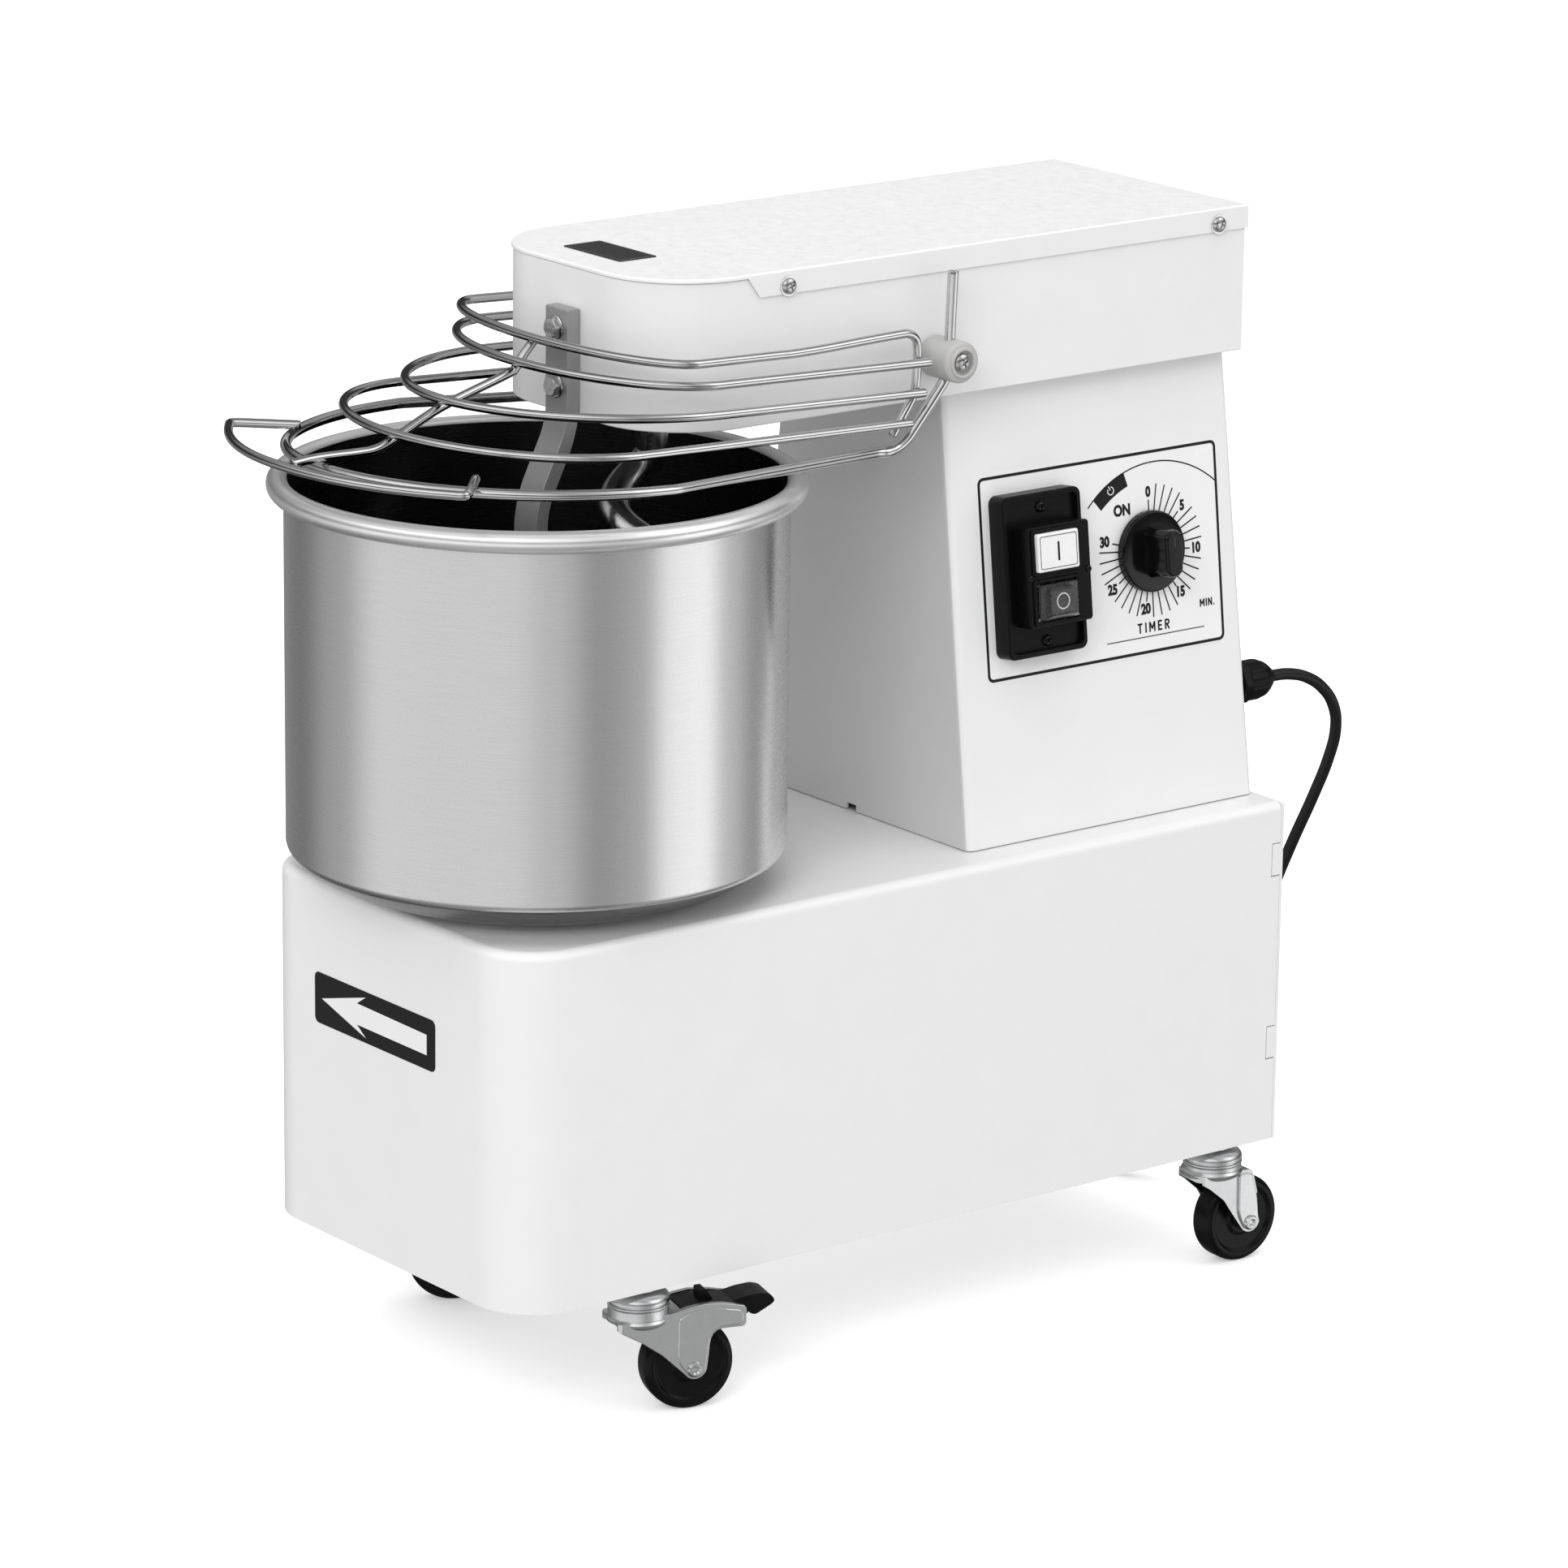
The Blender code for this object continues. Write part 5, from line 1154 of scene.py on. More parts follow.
def hook_points():
    """Centre line: straight shaft, then a helix that opens out and closes a little at its end."""
    count = 240
    points = [(0.0, SPIRAL_Y, z) for z in (SPIRAL_SHAFT_TOP, 0.530, 0.505, SPIRAL_HOOK_TOP + 0.012)]
    drop = SPIRAL_HOOK_TOP - SPIRAL_BOTTOM
    for i in range(count + 1):
        fallen = drop * i / count
        opening = min(1.0, fallen / SPIRAL_OPENING_DROP)
        radius = SPIRAL_RADIUS * (1 - cos(pi * opening)) / 2
        closing = max(0.0, (fallen / drop - 0.75) / 0.25)
        radius -= 0.008 * closing**2
        angle = SPIRAL_START + SPIRAL_TURN * fallen / drop
        points.append((radius * cos(angle), SPIRAL_Y + radius * sin(angle), SPIRAL_HOOK_TOP - fallen))
    return points


def spiral_hook():
    bar = tube(hook_points(), SPIRAL_BAR, 32, 0.5)
    piece("spiral_bar", bar, "hook", ["spiral_hook"], "spiral")


def breaker_bar():
    """Flat bar seen from its side, with a rounding for each corner, and its two bolts."""
    corners = (
        (BAR_BACK, BAR_TOP, 0.0012),
        (BAR_FACE, BAR_TOP, 0.0012),
        (BAR_FACE, BAR_JOG_TOP + 0.002, 0.010),
        (BAR_FACE - BAR_JOG, BAR_JOG_BOTTOM + 0.002, 0.016),
        (BAR_FACE - BAR_JOG, BAR_BOTTOM, 0.0014),
        (BAR_BACK - BAR_JOG, BAR_BOTTOM, 0.0014),
        (BAR_BACK - BAR_JOG, BAR_JOG_BOTTOM, 0.010),
        (BAR_BACK, BAR_JOG_TOP, 0.016),
    )
    outline = [corner[:2] for corner in corners]
    points = []
    for i, (_, _, radius) in enumerate(corners):
        trio = [outline[i - 1], outline[i], outline[(i + 1) % len(outline)]]
        points += softened(trio, radius, 8)[9:18]
    half = BAR_WIDTH / 2
    shape = prism(points, BAR_X - half, BAR_X + half, 0.0005, place=SIDE)
    piece("breaker_flat_bar", shape, "bar", ["breaker_bar"], sharp=40.0)
    for name, level in zip(("upper", "lower"), BOLT_HEIGHTS):
        hexagon_bolt(name, level)


def hexagon_bolt(name, level):
    """Hexagon head with a turned chamfer on a washer."""
    corner = BOLT_ACROSS / math.sqrt(3)
    place = facing((BAR_X, BAR_FACE - GAP, level), (0, -1, 0), 0.2)
    rings = []
    for limit, z in mm((5.4, 0.7), (5.77, 0.9), (5.77, 3.4), (5.35, 3.9), (4.8, 4.2)):
        ring = []
        for k in range(48):
            a = 2 * pi * k / 48
            flat = corner * cos(pi / 6) / cos((a % (pi / 3)) - pi / 6)
            radius = min(flat, limit)
            ring.append((radius * cos(a), radius * sin(a), z))
        rings.append(ring)
    washer = lathe(mm((0, 0.7), (5.8, 0.7), (6.2, 0.4), (6.2, 0), (0, 0)), 40)
    shank = tube([(0.0, 0.0, 0.0005), (0.0, 0.0, -0.018)], 0.0029, 20, 0.2)
    shape = placed(merged(loft(rings), washer, shank), place)
    piece(f"breaker_bolt_{name}_head", shape, "bolt", [f"breaker_bolt_{name}"])


# ---- guard


def left_sag(x):
    """How much lower the guard's front hangs on its left side."""
    return LEFT_SAG * min(1.0, max(0.0, -x / HANDLE_HALF))


def hoop_points(number):
    """A hoop's half round front, its two straight legs and, on the first and last, its bent tails."""
    level, half, centre, depth, rear_half, rear = HOOPS[number - 1]
    angles = [pi * i / 56 for i in range(57)]
    front = [(half * cos(a), centre - depth * sin(a)) for a in angles]
    shares = [i / 8 for i in range(8)]
    right = [(rear_half + (half - rear_half) * t, rear + (centre - rear) * t) for t in shares]
    left = [(-x, y) for x, y in reversed(right)]
    points = [(x, y, level) for x, y in right + front + left]
    tail = []
    if number == 1:
        tail = inner_tail()
    if number == len(HOOPS):
        tail = main_tail()
        shares = [min(1.0, max(0.0, 1.5 * (centre - y) / depth)) for _, y, _ in points]
        points = [(x, y, z - left_sag(x) * t) for (x, y, z), t in zip(points, shares)]
    return tail + points + [(-x, y, z) for x, y, z in reversed(tail)]


def inner_tail():
    """The top hoop's end: up from the lowest wire's end and forward over a bend."""
    x = MAIN_WIRE_X
    level = HOOPS[0][0]
    return [
        (x, -0.0365, -0.0370),
        (x, -0.0245, -0.0185),
        (x, -0.0225, -0.0130),
        (x, -0.0220, 0.0020),
        (x, -0.0228, level - 0.0020),
        (x, -0.0250, level + 0.0018),
        (x + 0.0002, -0.0295, level + 0.0038),
        (x + 0.0005, -0.0360, level + 0.0038),
        (x + 0.0012, -0.0580, level + 0.0026),
        (x + 0.0020, -0.0860, level + 0.0008),
    ]


def main_tail():
    """The lowest hoop's end: down past the bush and forward to the hoop's level."""
    x = MAIN_WIRE_X
    level = HOOPS[4][0]
    return [
        (x, -0.0010, 0.0470),
        (x, -0.0010, 0.0045),
        (x, 0.0003, -0.0050),
        (x, -0.0216, -0.0337),
        (x, -0.0275, -0.0402),
        (x, -0.0335, -0.0438),
        (x + 0.0008, -0.0400, level),
    ]


def rib_points():
    side = [
        (-0.1966, 0.0112),
        (-0.2034, 0.0038),
        (-0.2090, -0.0036),
        (-0.2142, -0.0064),
        (-0.2552, -0.0202),
        (-0.2846, -0.0346),
        (-0.2950, -0.0382),
        (-0.3050, HANDLE_LEVEL + 0.0002),
        (-0.3290, HANDLE_LEVEL - 0.0002),
        (-0.3446, HANDLE_LEVEL - 0.0018),
    ]
    return [(0.0, y, z) for y, z in side]


def handle_points():
    """Handle wire: a shallow bow in front of the lowest hoop with two short legs to it."""
    corner = -0.3125
    rise = corner - HANDLE_FRONT
    radius = (HANDLE_HALF**2 + rise**2) / (2 * rise)
    reach = math.degrees(math.asin((HANDLE_HALF - 0.004) / radius))
    bow = arc((0.0, HANDLE_FRONT + radius), radius, 270.0 + reach, 270.0 - reach, 40)
    right = [(0.0775, HANDLE_REAR), (HANDLE_HALF - 0.003, corner + 0.0045)]
    right += [(HANDLE_HALF - 0.0008, corner - 0.0005)]
    left = [(-x, y) for x, y in reversed(right)]
    level = HANDLE_LEVEL - HANDLE_SLOPE * HANDLE_REAR
    return [(x, y, level - left_sag(x) + HANDLE_SLOPE * y) for x, y in right + bow + left]


def guard_wire(name, points, spacing, radius, solid):
    wire = tube(smooth_path(points, spacing), radius, 22, 0.3, GUARD)
    piece(name, wire, "chrome", [solid], "guard")


def guard():
    for number in range(1, len(HOOPS) + 1):
        radius = MAIN_WIRE if number == len(HOOPS) else WIRE
        guard_wire(f"guard_wire_{number}", hoop_points(number), 0.0030, radius, f"guard_hoop_{number}")
    for name, points in (("rib", rib_points()), ("handle", handle_points())):
        guard_wire(f"guard_{name}_wire", points, 0.0025, WIRE, f"guard_{name}")
    screw = pan_screw_shape(0.0050, 0.0028)
    recess = -0.0026
    inner = BUSH_INNER - BUSH_OUTER
    corner = 0.0022
    profile = mm((0, -2.6), (6, -2.6), (6.3, -2.3), (6.4, -0.4), (6.8, 0), (7.8, 0))
    profile += mm((8.2, -0.4), (8.4, -1), (9.2, -1.2))
    profile += arc((BUSH_RADIUS - corner, -0.0034), corner, 75.0, 0.0, 7)
    profile += arc((BUSH_RADIUS - corner, inner + corner), corner, 0.0, -90.0, 8)
    profile += [(0.0044, inner), (0.0044, inner + 0.004), (0.0, inner + 0.004)]
    for name, side in (("right", 1), ("left", -1)):
        outward = Matrix.Rotation(side * pi / 2, 4, "Y")
        place = GUARD @ Matrix.Translation((side * BUSH_OUTER, 0.0, 0.0)) @ outward
        piece(f"guard_{name}_bush", lathe(profile, place=place), "nylon", [f"guard_bush_{name}"], "guard")
        seat = place @ Matrix.Translation((0.0, 0.0, recess)) @ Matrix.Rotation(0.5, 4, "Z")
        piece(f"guard_{name}_screw", duplicate(screw, seat), "bolt", body="guard")
    screw.free()


# ---- control panel


def on_panel(y, z):
    """A point of the row frame's Y and Z as the panel's own two coordinates."""
    return y - PANEL_Y, (z - PANEL_Z) / cos(COLUMN_LEAN)


def on_face(outline, low, high, edge=0.0, both=False):
    """A prism on the panel between two distances from the column's wall."""
    return prism(outline, low, high, edge, both, PANEL @ SIDE)


def printed(outline, low=PRINT[0], high=PRINT[1]):
    return on_face(outline, low, high)


def bar_outline(start, end, width):
    """A straight stroke of the given width."""
    start = Vector(start)
    end = Vector(end)
    along = (end - start).normalized()
    across = Vector((-along.y, along.x)) * width / 2
    return [tuple(start - across), tuple(end - across), tuple(end + across), tuple(start + across)]


def band_outline(centre, radius, width, start, end, count=40):
    """A curved stroke of the given width, angles in degrees."""
    outer = arc(centre, radius + width / 2, start, end, count)
    return outer + arc(centre, radius - width / 2, end, start, count)


def lettering(text, centre, height, bold, narrow):
    """Raised text whose capitals are height tall, centred on a point of the panel."""
    data = bpy.data.curves.new("lettering", "FONT")
    data.body = text
    data.size = height / CAPITAL_SHARE
    data.align_x = "CENTER"
    data.align_y = "CENTER"
    data.offset = bold
    data.extrude = (PRINT[1] - PRINT[0]) / 2
    data.resolution_u = 6
    made = linked("lettering", data)
    shape = evaluated(made, TEXT_WELD)
    bpy.data.objects.remove(made, do_unlink=True)
    bpy.data.curves.remove(data)
    flat = PANEL @ Matrix.Translation(((PRINT[0] + PRINT[1]) / 2, 0, 0)) @ SIDE
    narrowed = Matrix.Diagonal((narrow, 1.0, 1.0, 1.0))
    return placed(shape, flat @ Matrix.Translation((*centre, 0.0)) @ narrowed)


# Width of each plain letter in a box one high, and its strokes from point to point
LETTERS = {
    "T": (0.62, ((0.0, 0.92, 0.62, 0.92), (0.31, 0.0, 0.31, 1.0))),
    "I": (0.16, ((0.08, 0.0, 0.08, 1.0),)),
    "M": (
        0.78,
        (
            (0.08, 0.0, 0.08, 1.0),
            (0.10, 0.95, 0.39, 0.30),
            (0.39, 0.30, 0.68, 0.95),
            (0.70, 0.0, 0.70, 1.0),
        ),
    ),
    "E": (
        0.54,
        (
            (0.08, 0.0, 0.08, 1.0),
            (0.0, 0.92, 0.54, 0.92),
            (0.0, 0.50, 0.48, 0.50),
            (0.0, 0.08, 0.54, 0.08),
        ),
    ),
    "R": (
        0.60,
        (
            (0.08, 0.0, 0.08, 1.0),
            (0.0, 0.92, 0.42, 0.92),
            (0.36, 0.94, 0.53, 0.80),
            (0.52, 0.84, 0.52, 0.60),
            (0.53, 0.64, 0.36, 0.49),
            (0.0, 0.50, 0.42, 0.50),
            (0.26, 0.50, 0.54, 0.0),
        ),
    ),
    "N": (0.66, ((0.08, 0.0, 0.08, 1.0), (0.08, 0.96, 0.58, 0.04), (0.58, 0.0, 0.58, 1.0))),
    ".": (0.18, ((0.0, 0.09, 0.18, 0.09),)),
}


def stroked(text, centre, height, weight, gap):
    """Plain capitals made of straight strokes, centred on a point of the panel."""
    total = sum(LETTERS[letter][0] for letter in text) + gap * (len(text) - 1)
    at = -total / 2
    parts = []
    for letter in text:
        width, strokes = LETTERS[letter]
        for a, b, c, d in strokes:
            start = (centre[0] + (at + a) * height, centre[1] + (b - 0.5) * height)
            end = (centre[0] + (at + c) * height, centre[1] + (d - 0.5) * height)
            parts.append(printed(bar_outline(start, end, weight * height)))
        at += width + gap
    return merged(*parts)


def frame_shape(outer, inner, low, high):
    """What an outline on the panel leaves round a smaller one."""
    return cut(on_face(outer, low, high), on_face(inner, low - 0.001, high + 0.001))


def circle_through(a, b, c):
    """Centre and radius of the circle through three points."""
    ax, ay = a
    bx, by = b
    cx, cy = c
    d = 2 * (ax * (by - cy) + bx * (cy - ay) + cx * (ay - by))
    x = ((ax**2 + ay**2) * (by - cy) + (bx**2 + by**2) * (cy - ay) + (cx**2 + cy**2) * (ay - by)) / d
    y = ((ax**2 + ay**2) * (cx - bx) + (bx**2 + by**2) * (ax - cx) + (cx**2 + cy**2) * (bx - ax)) / d
    return (x, y), math.hypot(ax - x, ay - y)


def polar(centre, radius, angle):
    return (centre[0] + radius * cos(angle), centre[1] + radius * sin(angle))


def degrees_round(centre, *points):
    return [math.degrees(math.atan2(p[1] - centre[1], p[0] - centre[0])) for p in points]


def smaller(size, amount):
    return (size[0] - amount, size[1] - amount)


def minute_marks():
    marks = []
    for minute in range(31):
        a = pi / 2 - MINUTE * minute
        numbered = minute % 5 == 0
        ends = [polar(DIAL, radius, a) for radius in (0.0215, 0.0275 if numbered else 0.0360)]
        marks.append(printed(bar_outline(*ends, 0.00075)))
        if numbered:
            spot = polar(DIAL, 0.0316 if minute < 25 else 0.0330, a)
            marks.append(lettering(str(minute), spot, 0.0052, 0.00040, 0.86))
    return marks


def panel_label():
    """Framed film with the timer's scale, its title and a dark tab on the arc above it."""
    low = on_panel(0.0916, 0.3480)
    high = on_panel(0.2566, 0.4562)
    centre = ((low[0] + high[0]) / 2, (low[1] + high[1]) / 2)
    size = (high[0] - low[0], high[1] - low[1])
    piece("panel_label_film", on_face(rectangle(centre, smaller(size, -0.0016), 0.0042), *FILM), "label")
    inner = rectangle(centre, smaller(size, 0.0032), 0.0022)
    prints = [frame_shape(rectangle(centre, size, 0.0036), inner, *PRINT)]
    prints += minute_marks()
    prints.append(lettering("ON", on_panel(0.1892, 0.4265), 0.0056, 0.00038, 0.9))
    prints.append(stroked("MIN.", on_panel(0.2455, 0.3698), 0.0042, 0.19, 0.22))
    prints.append(stroked("TIMER", on_panel(0.2071, 0.3620), 0.0054, 0.18, 0.36))
    prints.append(printed(bar_outline(on_panel(0.1741, 0.3570), on_panel(0.2426, 0.3570), 0.0005)))
    left, top, right = on_panel(0.1657, 0.4307), on_panel(0.2193, 0.4495), on_panel(0.2552, 0.4343)
    middle, radius = circle_through(left, top, right)
    prints.append(printed(band_outline(middle, radius, 0.0007, *degrees_round(middle, right, left))))
    start, end = degrees_round(middle, on_panel(0.1915, 0.4464), on_panel(0.1702, 0.4337))
    radius -= 0.0039
    prints.append(printed(band_outline(middle, radius, 0.0080, start, end, 16)))
    piece("panel_label_print", merged(*prints), "ink")
    half_way = (start + end) / 2
    spot = polar(middle, radius, radians(half_way))
    ring = band_outline(spot, 0.0021, 0.0005, half_way + 35.0, half_way + 325.0, 28)
    stroke = [polar(spot, r, radians(half_way)) for r in (0.0004, 0.0029)]
    above = (0.00040, 0.00050)
    mark = merged(printed(ring, *above), printed(bar_outline(*stroke, 0.0005), *above))
    piece("panel_label_mark", mark, "label")


def button_spot(offset):
    return (SWITCH[0], SWITCH[1] + offset)


def switch_housing():
    """Plate with a sunken field, a raised block with a well for each button, and four screws."""
    floor = SWITCH_FACE - 0.0030
    face = SWITCH_TOP - 0.0012
    plate = on_face(rectangle(SWITCH, (0.054, 0.087), 0.0045), GAP, SWITCH_FACE, 0.0011)
    field = on_face(rectangle(SWITCH, (0.0484, 0.0814), 0.0030), floor, SWITCH_FACE + 0.004)
    raised = rectangle((SWITCH[0] + 0.0026, SWITCH[1]), (0.043, 0.0536), 0.0020)
    y, z = SWITCH
    behind = block((-0.030, y - 0.0215, z - 0.031), (0.002, y + 0.0215, z + 0.031), place=PANEL)
    steps = [("DIFFERENCE", field), ("UNION", on_face(raised, 0.004, face, 0.0009)), ("UNION", behind)]
    for offset in (START_Z, STOP_Z):
        collar = rectangle(button_spot(offset), (BUTTON[0] + 0.0044, BUTTON[1] + 0.0040), 0.0016)
        steps.append(("UNION", on_face(collar, SWITCH_TOP - 0.004, SWITCH_TOP, 0.0006)))
    for offset in (START_Z, STOP_Z):
        well = rectangle(button_spot(offset), smaller(BUTTON, -0.0007), 0.0011)
        steps.append(("DIFFERENCE", on_face(well, WELL_FLOOR, SWITCH_TOP + 0.004)))
    piece("switch_box", combined(plate, *steps), "plastic", ["switch_housing"])
    spots = (
        ("upper", (0.0031, 0.0019), (floor, 0.0010, 0.0352)),
        ("lower", (0.0031, 0.0019), (floor, 0.0010, -0.0362)),
        ("left", (0.0019, 0.0011), (face, -0.0170, 0.0)),
        ("right", (0.0019, 0.0011), (face, 0.0222, 0.0002)),
    )
    for number, (name, size, (depth, across, up)) in enumerate(spots):
        place = PANEL @ facing((depth - 0.00002, y + across, z + up), (1, 0, 0), 0.5 * number)
        screw = placed(pan_screw_shape(*size), place)
        piece(f"switch_screw_{name}", screw, "gloss_black")


def start_button():
    top = SWITCH_TOP + 0.0022
    sunk = top - 0.00004
    spot = button_spot(START_Z)
    key = on_face(rectangle(spot, BUTTON, 0.0011), BUTTON_BACK, top, 0.0008)
    piece("start_key", key, "white_plastic", ["start_button"], "start_button")
    mark = on_face(rectangle(spot, (0.0013, 0.0102), 0.0004), sunk, top + 0.00010)
    piece("start_mark", mark, "ink", body="start_button")
    outer = rectangle(spot, smaller(BUTTON, 0.0030), 0.0012)
    inner = rectangle(spot, smaller(BUTTON, 0.0038), 0.0009)
    line = frame_shape(outer, inner, sunk, top + 0.00006)
    piece("start_outline", line, "grey_plastic", body="start_button")


def stop_button():
    """A clear domed cover with the key and its mark inside."""
    spot = button_spot(STOP_Z)
    rings = []
    # distance from the wall, width and height as shares of the button, corner
    for depth, wide, tall, corner in (
        (BUTTON_BACK, 1.0, 1.0, 0.0009),
        (SWITCH_TOP + 0.0002, 1.0, 1.0, 0.0009),
        (SWITCH_TOP + 0.0008, 0.975, 0.975, 0.0010),
        (SWITCH_TOP + 0.0042, 0.70, 0.74, 0.0012),
        (SWITCH_TOP + 0.0048, 0.66, 0.70, 0.0011),
    ):
        outline = rectangle(spot, (BUTTON[0] * wide, BUTTON[1] * tall), corner)
        rings.append([(depth, y, z) for y, z in outline])
    cover = placed(loft(rings), PANEL)
    piece("stop_cover", cover, "clear", ["stop_button"], "stop_button")
    face = SWITCH_TOP + 0.0012
    key = rectangle(spot, (BUTTON[0] * 0.86, BUTTON[1] * 0.84), 0.0010)
    raised = rectangle(spot, (BUTTON[0] * 0.56, BUTTON[1] * 0.60), 0.0008)
    lower = on_face(key, BUTTON_BACK + 0.0006, face - 0.0008, 0.0004, both=True)
    upper = on_face(raised, face - 0.0012, face + 0.0020, 0.0004)
    piece("stop_key", merged(lower, upper), "grey_plastic", body="stop_button")
    ring = frame_shape(circle(spot, 0.0045), circle(spot, 0.0037), face + 0.00195, face + 0.0021)
    piece("stop_mark", ring, "label", body="stop_button")


def grip_outline(half_x, half_y, corner):
    """A rectangle whose corners are cut off and then softened."""
    x = half_x - corner
    y = half_y - corner
    outline = [(half_x, y), (x, half_y), (-x, half_y), (-half_x, y)]
    outline += [(-half_x, -y), (-x, -half_y), (x, -half_y), (half_x, -y)]
    return softened(outline, 0.0014, 4)


def timer_knob():
    """Notched disc with a tapered grip across it."""
    spot = PANEL @ Matrix.Translation((0.0, *KNOB)) @ Matrix.Rotation(pi / 2, 4, "Y")
    edge = 0.0014
    profile = [(0.0, KNOB_DISC), (0.0130, KNOB_DISC), (0.0180, KNOB_DISC - 0.0001)]
    profile += [(KNOB_RADIUS - 0.0022, KNOB_DISC - 0.0004)]
    profile += arc((KNOB_RADIUS - edge, KNOB_DISC - 0.0019), edge, 80.0, 0.0, 6)
    profile += [(KNOB_RADIUS, 0.0012), (KNOB_RADIUS - 0.0005, 0.0007), (0.0, 0.0007)]
    steps = []
    for k in range(KNOB_NOTCHES):
        at = polar((0.0, 0.0), KNOB_RADIUS + 0.0005, 2 * pi * (k + 0.5) / KNOB_NOTCHES)
        steps.append(("DIFFERENCE", tube([(*at, -0.001), (*at, KNOB_DISC + 0.001)], 0.0008, 10, 0.0)))
    levels = (
        (KNOB_DISC - 0.0020, 0.0142, 0.0080, 0.0040),
        (KNOB_DISC + 0.0010, 0.0136, 0.0072, 0.0036),
        (KNOB_DISC + 0.0030, 0.0131, 0.0066, 0.0033),
        (KNOB_DEPTH - 0.0016, 0.0126, 0.0058, 0.0030),
        (KNOB_DEPTH - 0.0004, 0.0118, 0.0050, 0.0026),
        (KNOB_DEPTH, 0.0108, 0.0041, 0.0021),
    )
    grip = loft([[(x, y, z) for x, y in grip_outline(*sizes)] for z, *sizes in levels])
    shape = placed(combined(lathe(profile, 96), *steps, ("UNION", grip)), spot)
    piece("timer_grip", shape, "gloss_black", ["timer_knob"], "timer_knob")
    outline = rectangle((-0.0065, 0.0), (0.0060, 0.0009), 0.0003)
    line = prism(outline, KNOB_DEPTH - 0.00004, KNOB_DEPTH + 0.0001, place=spot)
    piece("timer_pointer", line, "grey_plastic", body="timer_knob")


# ---- label on the base


def arrow_label():
    """Dark label with an arrow for the bowl's direction, on the front of the base."""
    place = Matrix(((1, 0, 0, 0), (0, 0, -1, BASE_FRONT), (0, 1, 0, 0), (0, 0, 0, 1)))
    film = rectangle((-0.0085, 0.1975), (0.109, 0.0276), 0.0034)
    piece("arrow_label_film", prism(film, *FILM, place=place), "ink")
    arrow = mm((-16.2, 186.3), (-24.3, 191.7), (38.7, 191.5), (38.7, 202.4))
    arrow += mm((-24.2, 203.2), (-16.1, 208.3), (-56.4, 197.6))
    piece("arrow_label_print", prism(arrow, *PRINT, place=place), "label")


# ---- castors


def trail_of(brake):
    return BRAKED_TRAIL if brake else PLAIN_TRAIL


def axle_boss(trail, radius, end, count):
    """The arm's round edge below the axle."""
    return arc((trail + 0.0005, AXLE_Z + 0.0009), radius, -15.0, end, count)


def arm_outline(brake):
    if brake:
        top = mm((-15.5, -16), (14.4, -12.9), (23, -10.8), (31.5, -9.7), (42.3, -10.7))
        top += arc((0.0522, -0.0152), 0.0024, 75.0, 0.0, 5) + arc((0.0520, -0.0216), 0.0027, 0.0, -90.0, 6)
        top += mm((41.4, -24.2), (38.6, -24.9), (36.4, -26.6), (35.2, -28.8), (34.4, -32.5), (34, -37.2))
        front = mm((8.1, -35.1), (-3.7, -26.7), (-15.5, -19.9))
        return top + axle_boss(BRAKED_TRAIL, 0.0067, -145.0, 16) + front
    rear = mm((-18.2, -14), (7.4, -13.7), (17.8, -14.1), (22.1, -29.9))
    front = mm((5.1, -38.1), (-0.6, -29.5), (-9.9, -21.7), (-18.2, -16.4))
    return softened(rear, 0.003) + axle_boss(PLAIN_TRAIL, 0.0067, -145.0, 16) + front


def pressed_panel(brake):
    """Outline of the arm's raised part round the axle."""
    if brake:
        top = mm((17, -16.5), (23, -13.6), (32, -12.4), (42.5, -13.4), (51.2, -15), (52.8, -17))
        top += mm((52.8, -21.2), (51.2, -23), (40.8, -23), (36.6, -24.8), (34.2, -28.5), (32.9, -37.2))
        front = mm((17.8, -41.2), (16.8, -37))
    else:
        top = mm((8.2, -16), (15, -15.8), (17.2, -17), (20.8, -29.9))
        front = mm((9.6, -41.2), (8.6, -37))
    return softened(top + axle_boss(trail_of(brake), 0.0056, -150.0, 12) + front, 0.0016, 3)


def fork_crown(low):
    """The turned seat of the ball race, with its bulge at the given height."""
    top = RACE_BOTTOM - GAP
    bulge = mm((16, 0.3), (16.3, -0.4), (16.9, -1.1), (17.1, -1.7), (16.9, -2.4), (16, -3.4), (14.6, -4.6))
    bulge += mm((13.2, -5.4), (10.4, -5.4), (10.4, -3), (0, -3))
    profile = [(0.0, top), (0.0154, top), (0.0160, top - 0.0006)]
    return lathe(profile + [(radius, low + z) for radius, z in bulge])


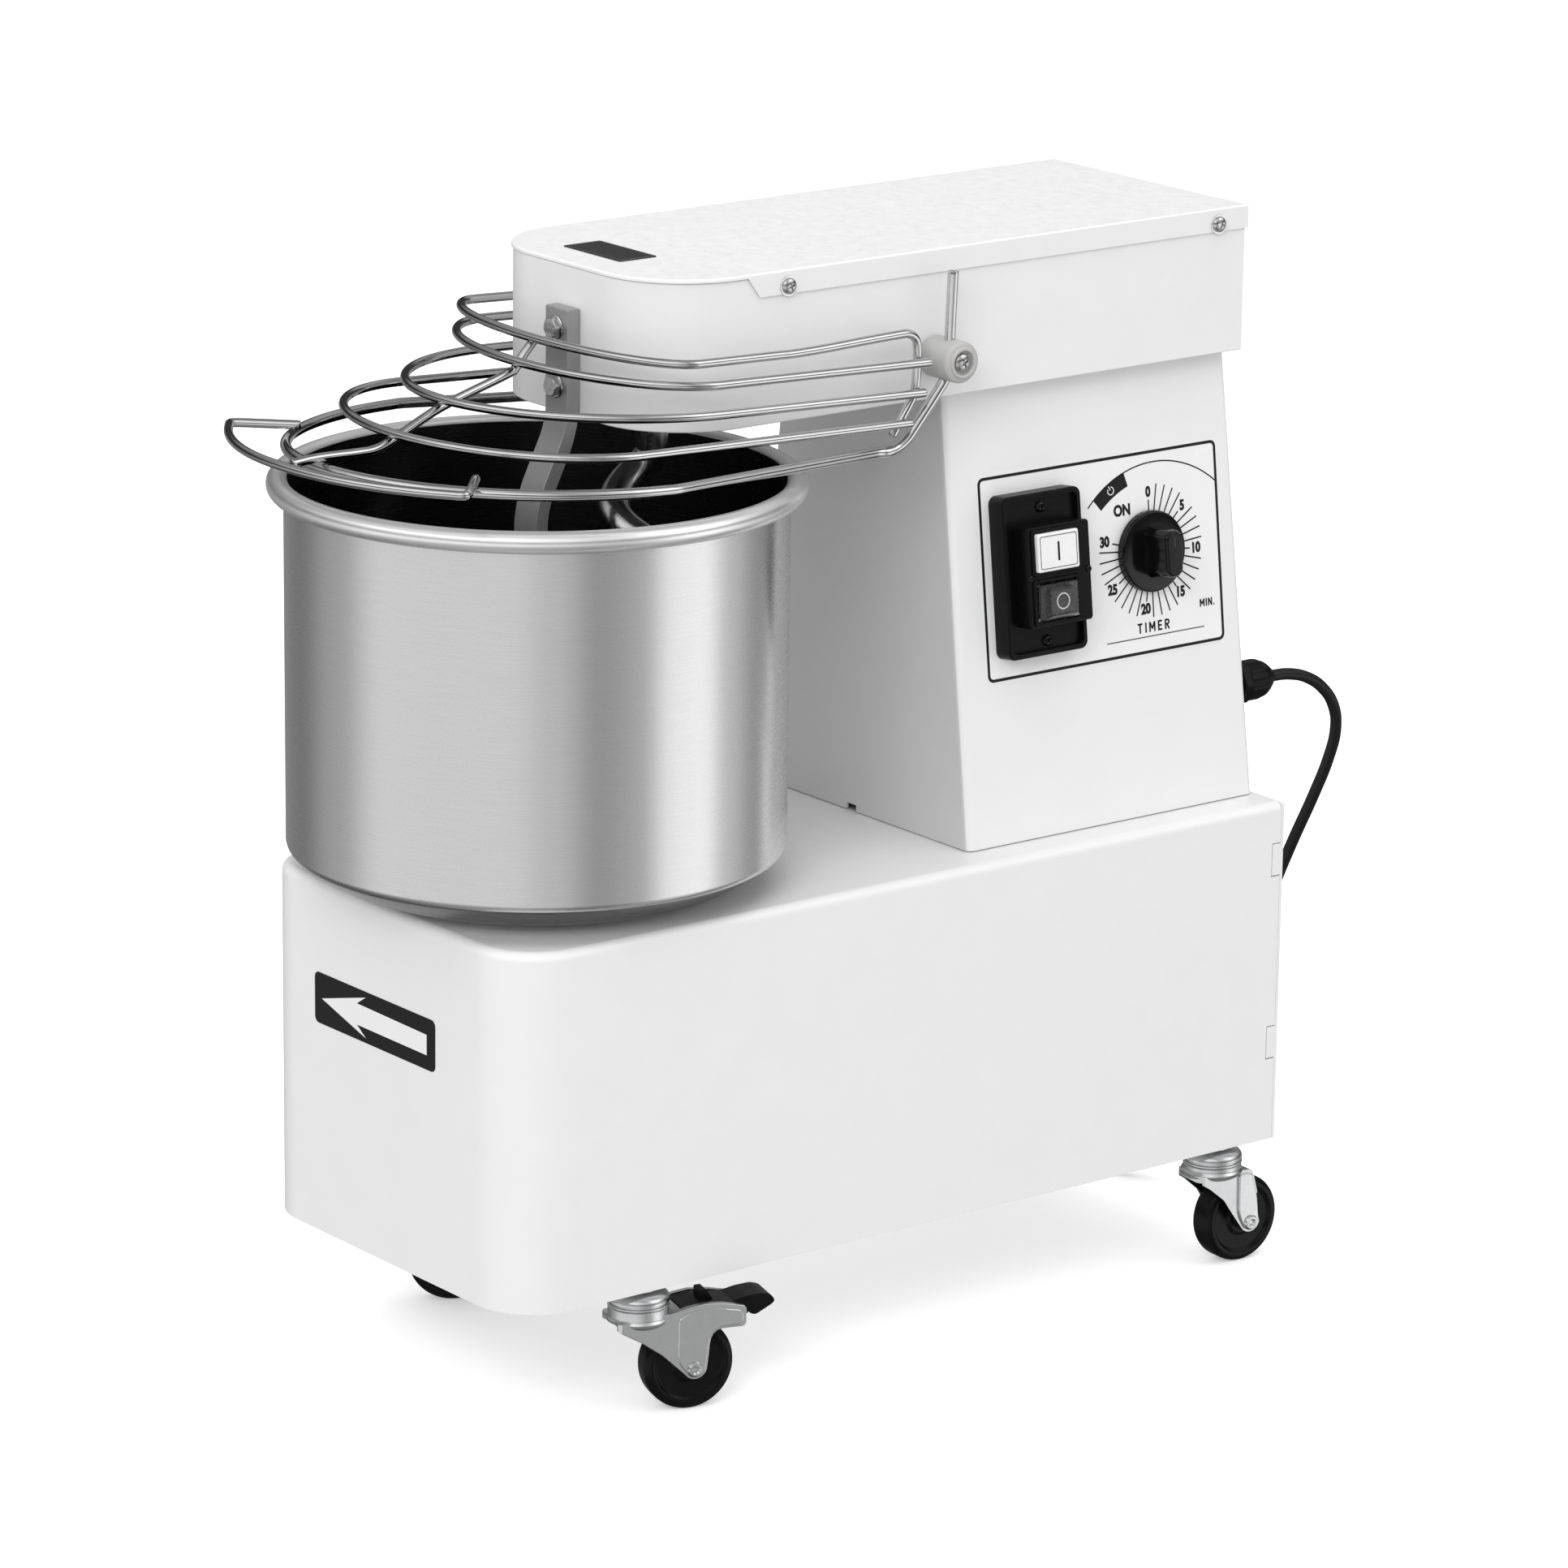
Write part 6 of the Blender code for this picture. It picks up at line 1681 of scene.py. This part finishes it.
def castor_fork(name, place, brake):
    """Two pressed arms under a round crown, with the axle riveted through them."""
    half = FORK_HALF
    trail = trail_of(brake)
    nose = 0.0195 if brake else 0.0180
    swing = math.degrees(math.acos(-half / nose))
    plan = [(0.09, half + 0.004)] + arc((0.0, 0.0), nose, swing, 360.0 - swing, 28) + [(0.09, -half - 0.004)]
    steps = [
        ("INTERSECT", prism(plan, -0.07, 0.0)),
        ("UNION", fork_crown(-0.0152 if brake else -0.0125)),
        ("DIFFERENCE", block((-0.03, -FORK_SLOT, -0.07), (0.08, FORK_SLOT, WEB_BOTTOM))),
    ]
    if brake:
        steps.append(("DIFFERENCE", block((PEDAL_SLOT, -FORK_SLOT, -0.03), (0.09, FORK_SLOT, 0.0))))
    for side in (-1, 1):
        face = sorted((side * (half - 0.0010), side * (half + 0.0008)))
        steps.append(("UNION", prism(pressed_panel(brake), *face, 0.0007, place=UPRIGHT)))
    parts = [combined(prism(arm_outline(brake), -half, half, 0.0005, place=UPRIGHT), *steps)]
    rivet = mm((0, 0.4), (1.2, 0.5), (1.6, 1.2), (2.4, 1.8), (3.4, 1.7), (4.1, 0.8), (4.3, -0.4), (0, -0.4))
    for side in (-1, 1):
        outward = Matrix.Rotation(-side * pi / 2, 4, "X")
        seat = Matrix.Translation((trail, side * (half + 0.0006), AXLE_Z)) @ outward
        parts.append(lathe(rivet, 40, place=seat))
    parts.append(tube([(trail, -half, AXLE_Z), (trail, half, AXLE_Z)], AXLE_RADIUS, 24, 0.0))
    fork = placed(merged(*parts), place)
    piece(f"castor_{name}_fork", fork, "zinc", [f"castor_fork_{name}"], f"fork_{name}", sharp=30.0)


def castor_race(name, place):
    """Turned stem and ball race."""
    profile = mm((0, 16), (4.6, 16), (5, 15.5), (5, 0), (9.2, 0), (9.5, -0.3), (9.5, -1.4), (10, -1.8))
    profile += mm((12.2, -2.2), (13.8, -2.8), (15, -3.6), (15.8, -4.6), (16.3, -5.8), (16.3, -7.2))
    profile += mm((16, -7.6), (15.4, -7.8), (15.4, -8.3), (16, -8.5), (16.3, -8.8), (16.3, -9.4))
    profile += [(0.0161, RACE_BOTTOM), (0.0, RACE_BOTTOM)]
    piece(f"castor_{name}_race", lathe(profile, 72, place=place), "zinc", [f"castor_race_{name}"])


def castor_wheel(name, place, trail):
    half = WHEEL_HALF
    # radius, and depth below the wheel's side
    section = mm((5.6, 0), (6, 0.4), (8, 0.4), (8.5, 0.6), (9.4, 1.6), (10.2, 1.8), (17.6, 1.8))
    section += mm((18.4, 1.4), (19, 0.5), (19.6, 0), (21.2, 0), (21.9, 0.3), (23.3, 0.9), (24, 1.7))
    section += [(0.0244, 0.0028), (WHEEL_RADIUS, 0.0044)]
    side = [(AXLE_RADIUS + GAP, half)] + [(radius, half - depth) for radius, depth in section]
    profile = side + [(radius, -height) for radius, height in reversed(side)]
    spot = place @ Matrix.Translation((trail, 0.0, AXLE_Z)) @ UPRIGHT
    wheel = lathe(profile, 96, closed=True, place=spot)
    solids = [f"castor_wheel_{name}"]
    piece(f"castor_{name}_wheel", wheel, "wheel", solids, f"wheel_{name}", 40.0)


def brake_pedal(name, place):
    """Pedal body between the arms, with a stop tab and a wider tread."""
    body = mm((19.8, -11.8), (31, -10), (41.1, -11.2), (57, -12), (57, -19), (48, -21.5), (40, -19.5))
    body += mm((33, -16), (19.8, -15))
    tab = mm((31.8, -5.2), (35.5, -5), (40.5, -12.5), (31.8, -12.5))
    tread = mm((47.6, -11.8), (56, -9.8), (65, -9), (70, -10.6), (72.2, -14), (70.6, -15.8), (61.2, -20.8))
    tread += mm((57.5, -19.2), (56.2, -15))
    parts = []
    # outline, half width and rounding of each part
    shapes = ((body, FORK_SLOT - 0.0006, 0.0010), (tab, 0.0045, 0.0008), (tread, 0.0091, 0.0022))
    for outline, half, radius in shapes:
        parts.append(prism(softened(outline, radius, 4), -half, half, 0.0004, place=UPRIGHT))
    pedal = placed(combined(parts[0], ("UNION", parts[1]), ("UNION", parts[2])), place)
    piece(f"castor_{name}_pedal", pedal, "plastic", [f"brake_pedal_{name}"], f"pedal_{name}")


def castors():
    for name, x, y, heading, brake in CASTORS:
        place = Matrix.Translation((x, y, CASTOR_HEIGHT)) @ Matrix.Rotation(heading, 4, "Z")
        castor_race(name, place)
        castor_fork(name, place, brake)
        castor_wheel(name, place, trail_of(brake))
        if brake:
            brake_pedal(name, place)


# ---- carried-over nodes


INNER_FINISHES = {
    "steel": (
        "bowl_shaft",
        "bowl_sprocket",
        "drive_sprocket_lower",
        "drive_sprocket_upper",
        "spiral_sprocket",
        "lower_chain",
        "upper_chain",
        "drive_shaft",
        "guard_pivot_pin_right",
        "guard_pivot_pin_left",
    ),
    "cast": ("bowl_bearing_housing", "spiral_bearing_housing", "gearbox", "motor"),
    "plastic": ("timer_body", "guard_microswitch"),
    "paint": ("base_floor_plate",),
}


def finish_inner_nodes():
    for finish, names in INNER_FINISHES.items():
        for name in names:
            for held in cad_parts[name].material_slots:
                held.material = FINISH[finish]


base_housing()
rear_cover()
column_housing()
head_housing()
head_lid()
lid_screws()
lid_badge()
bowl()
spiral_hook()
breaker_bar()
guard()
panel_label()
switch_housing()
start_button()
stop_button()
timer_knob()
arrow_label()
castors()
finish_inner_nodes()

bpy.context.scene.view_settings.view_transform = "Standard"
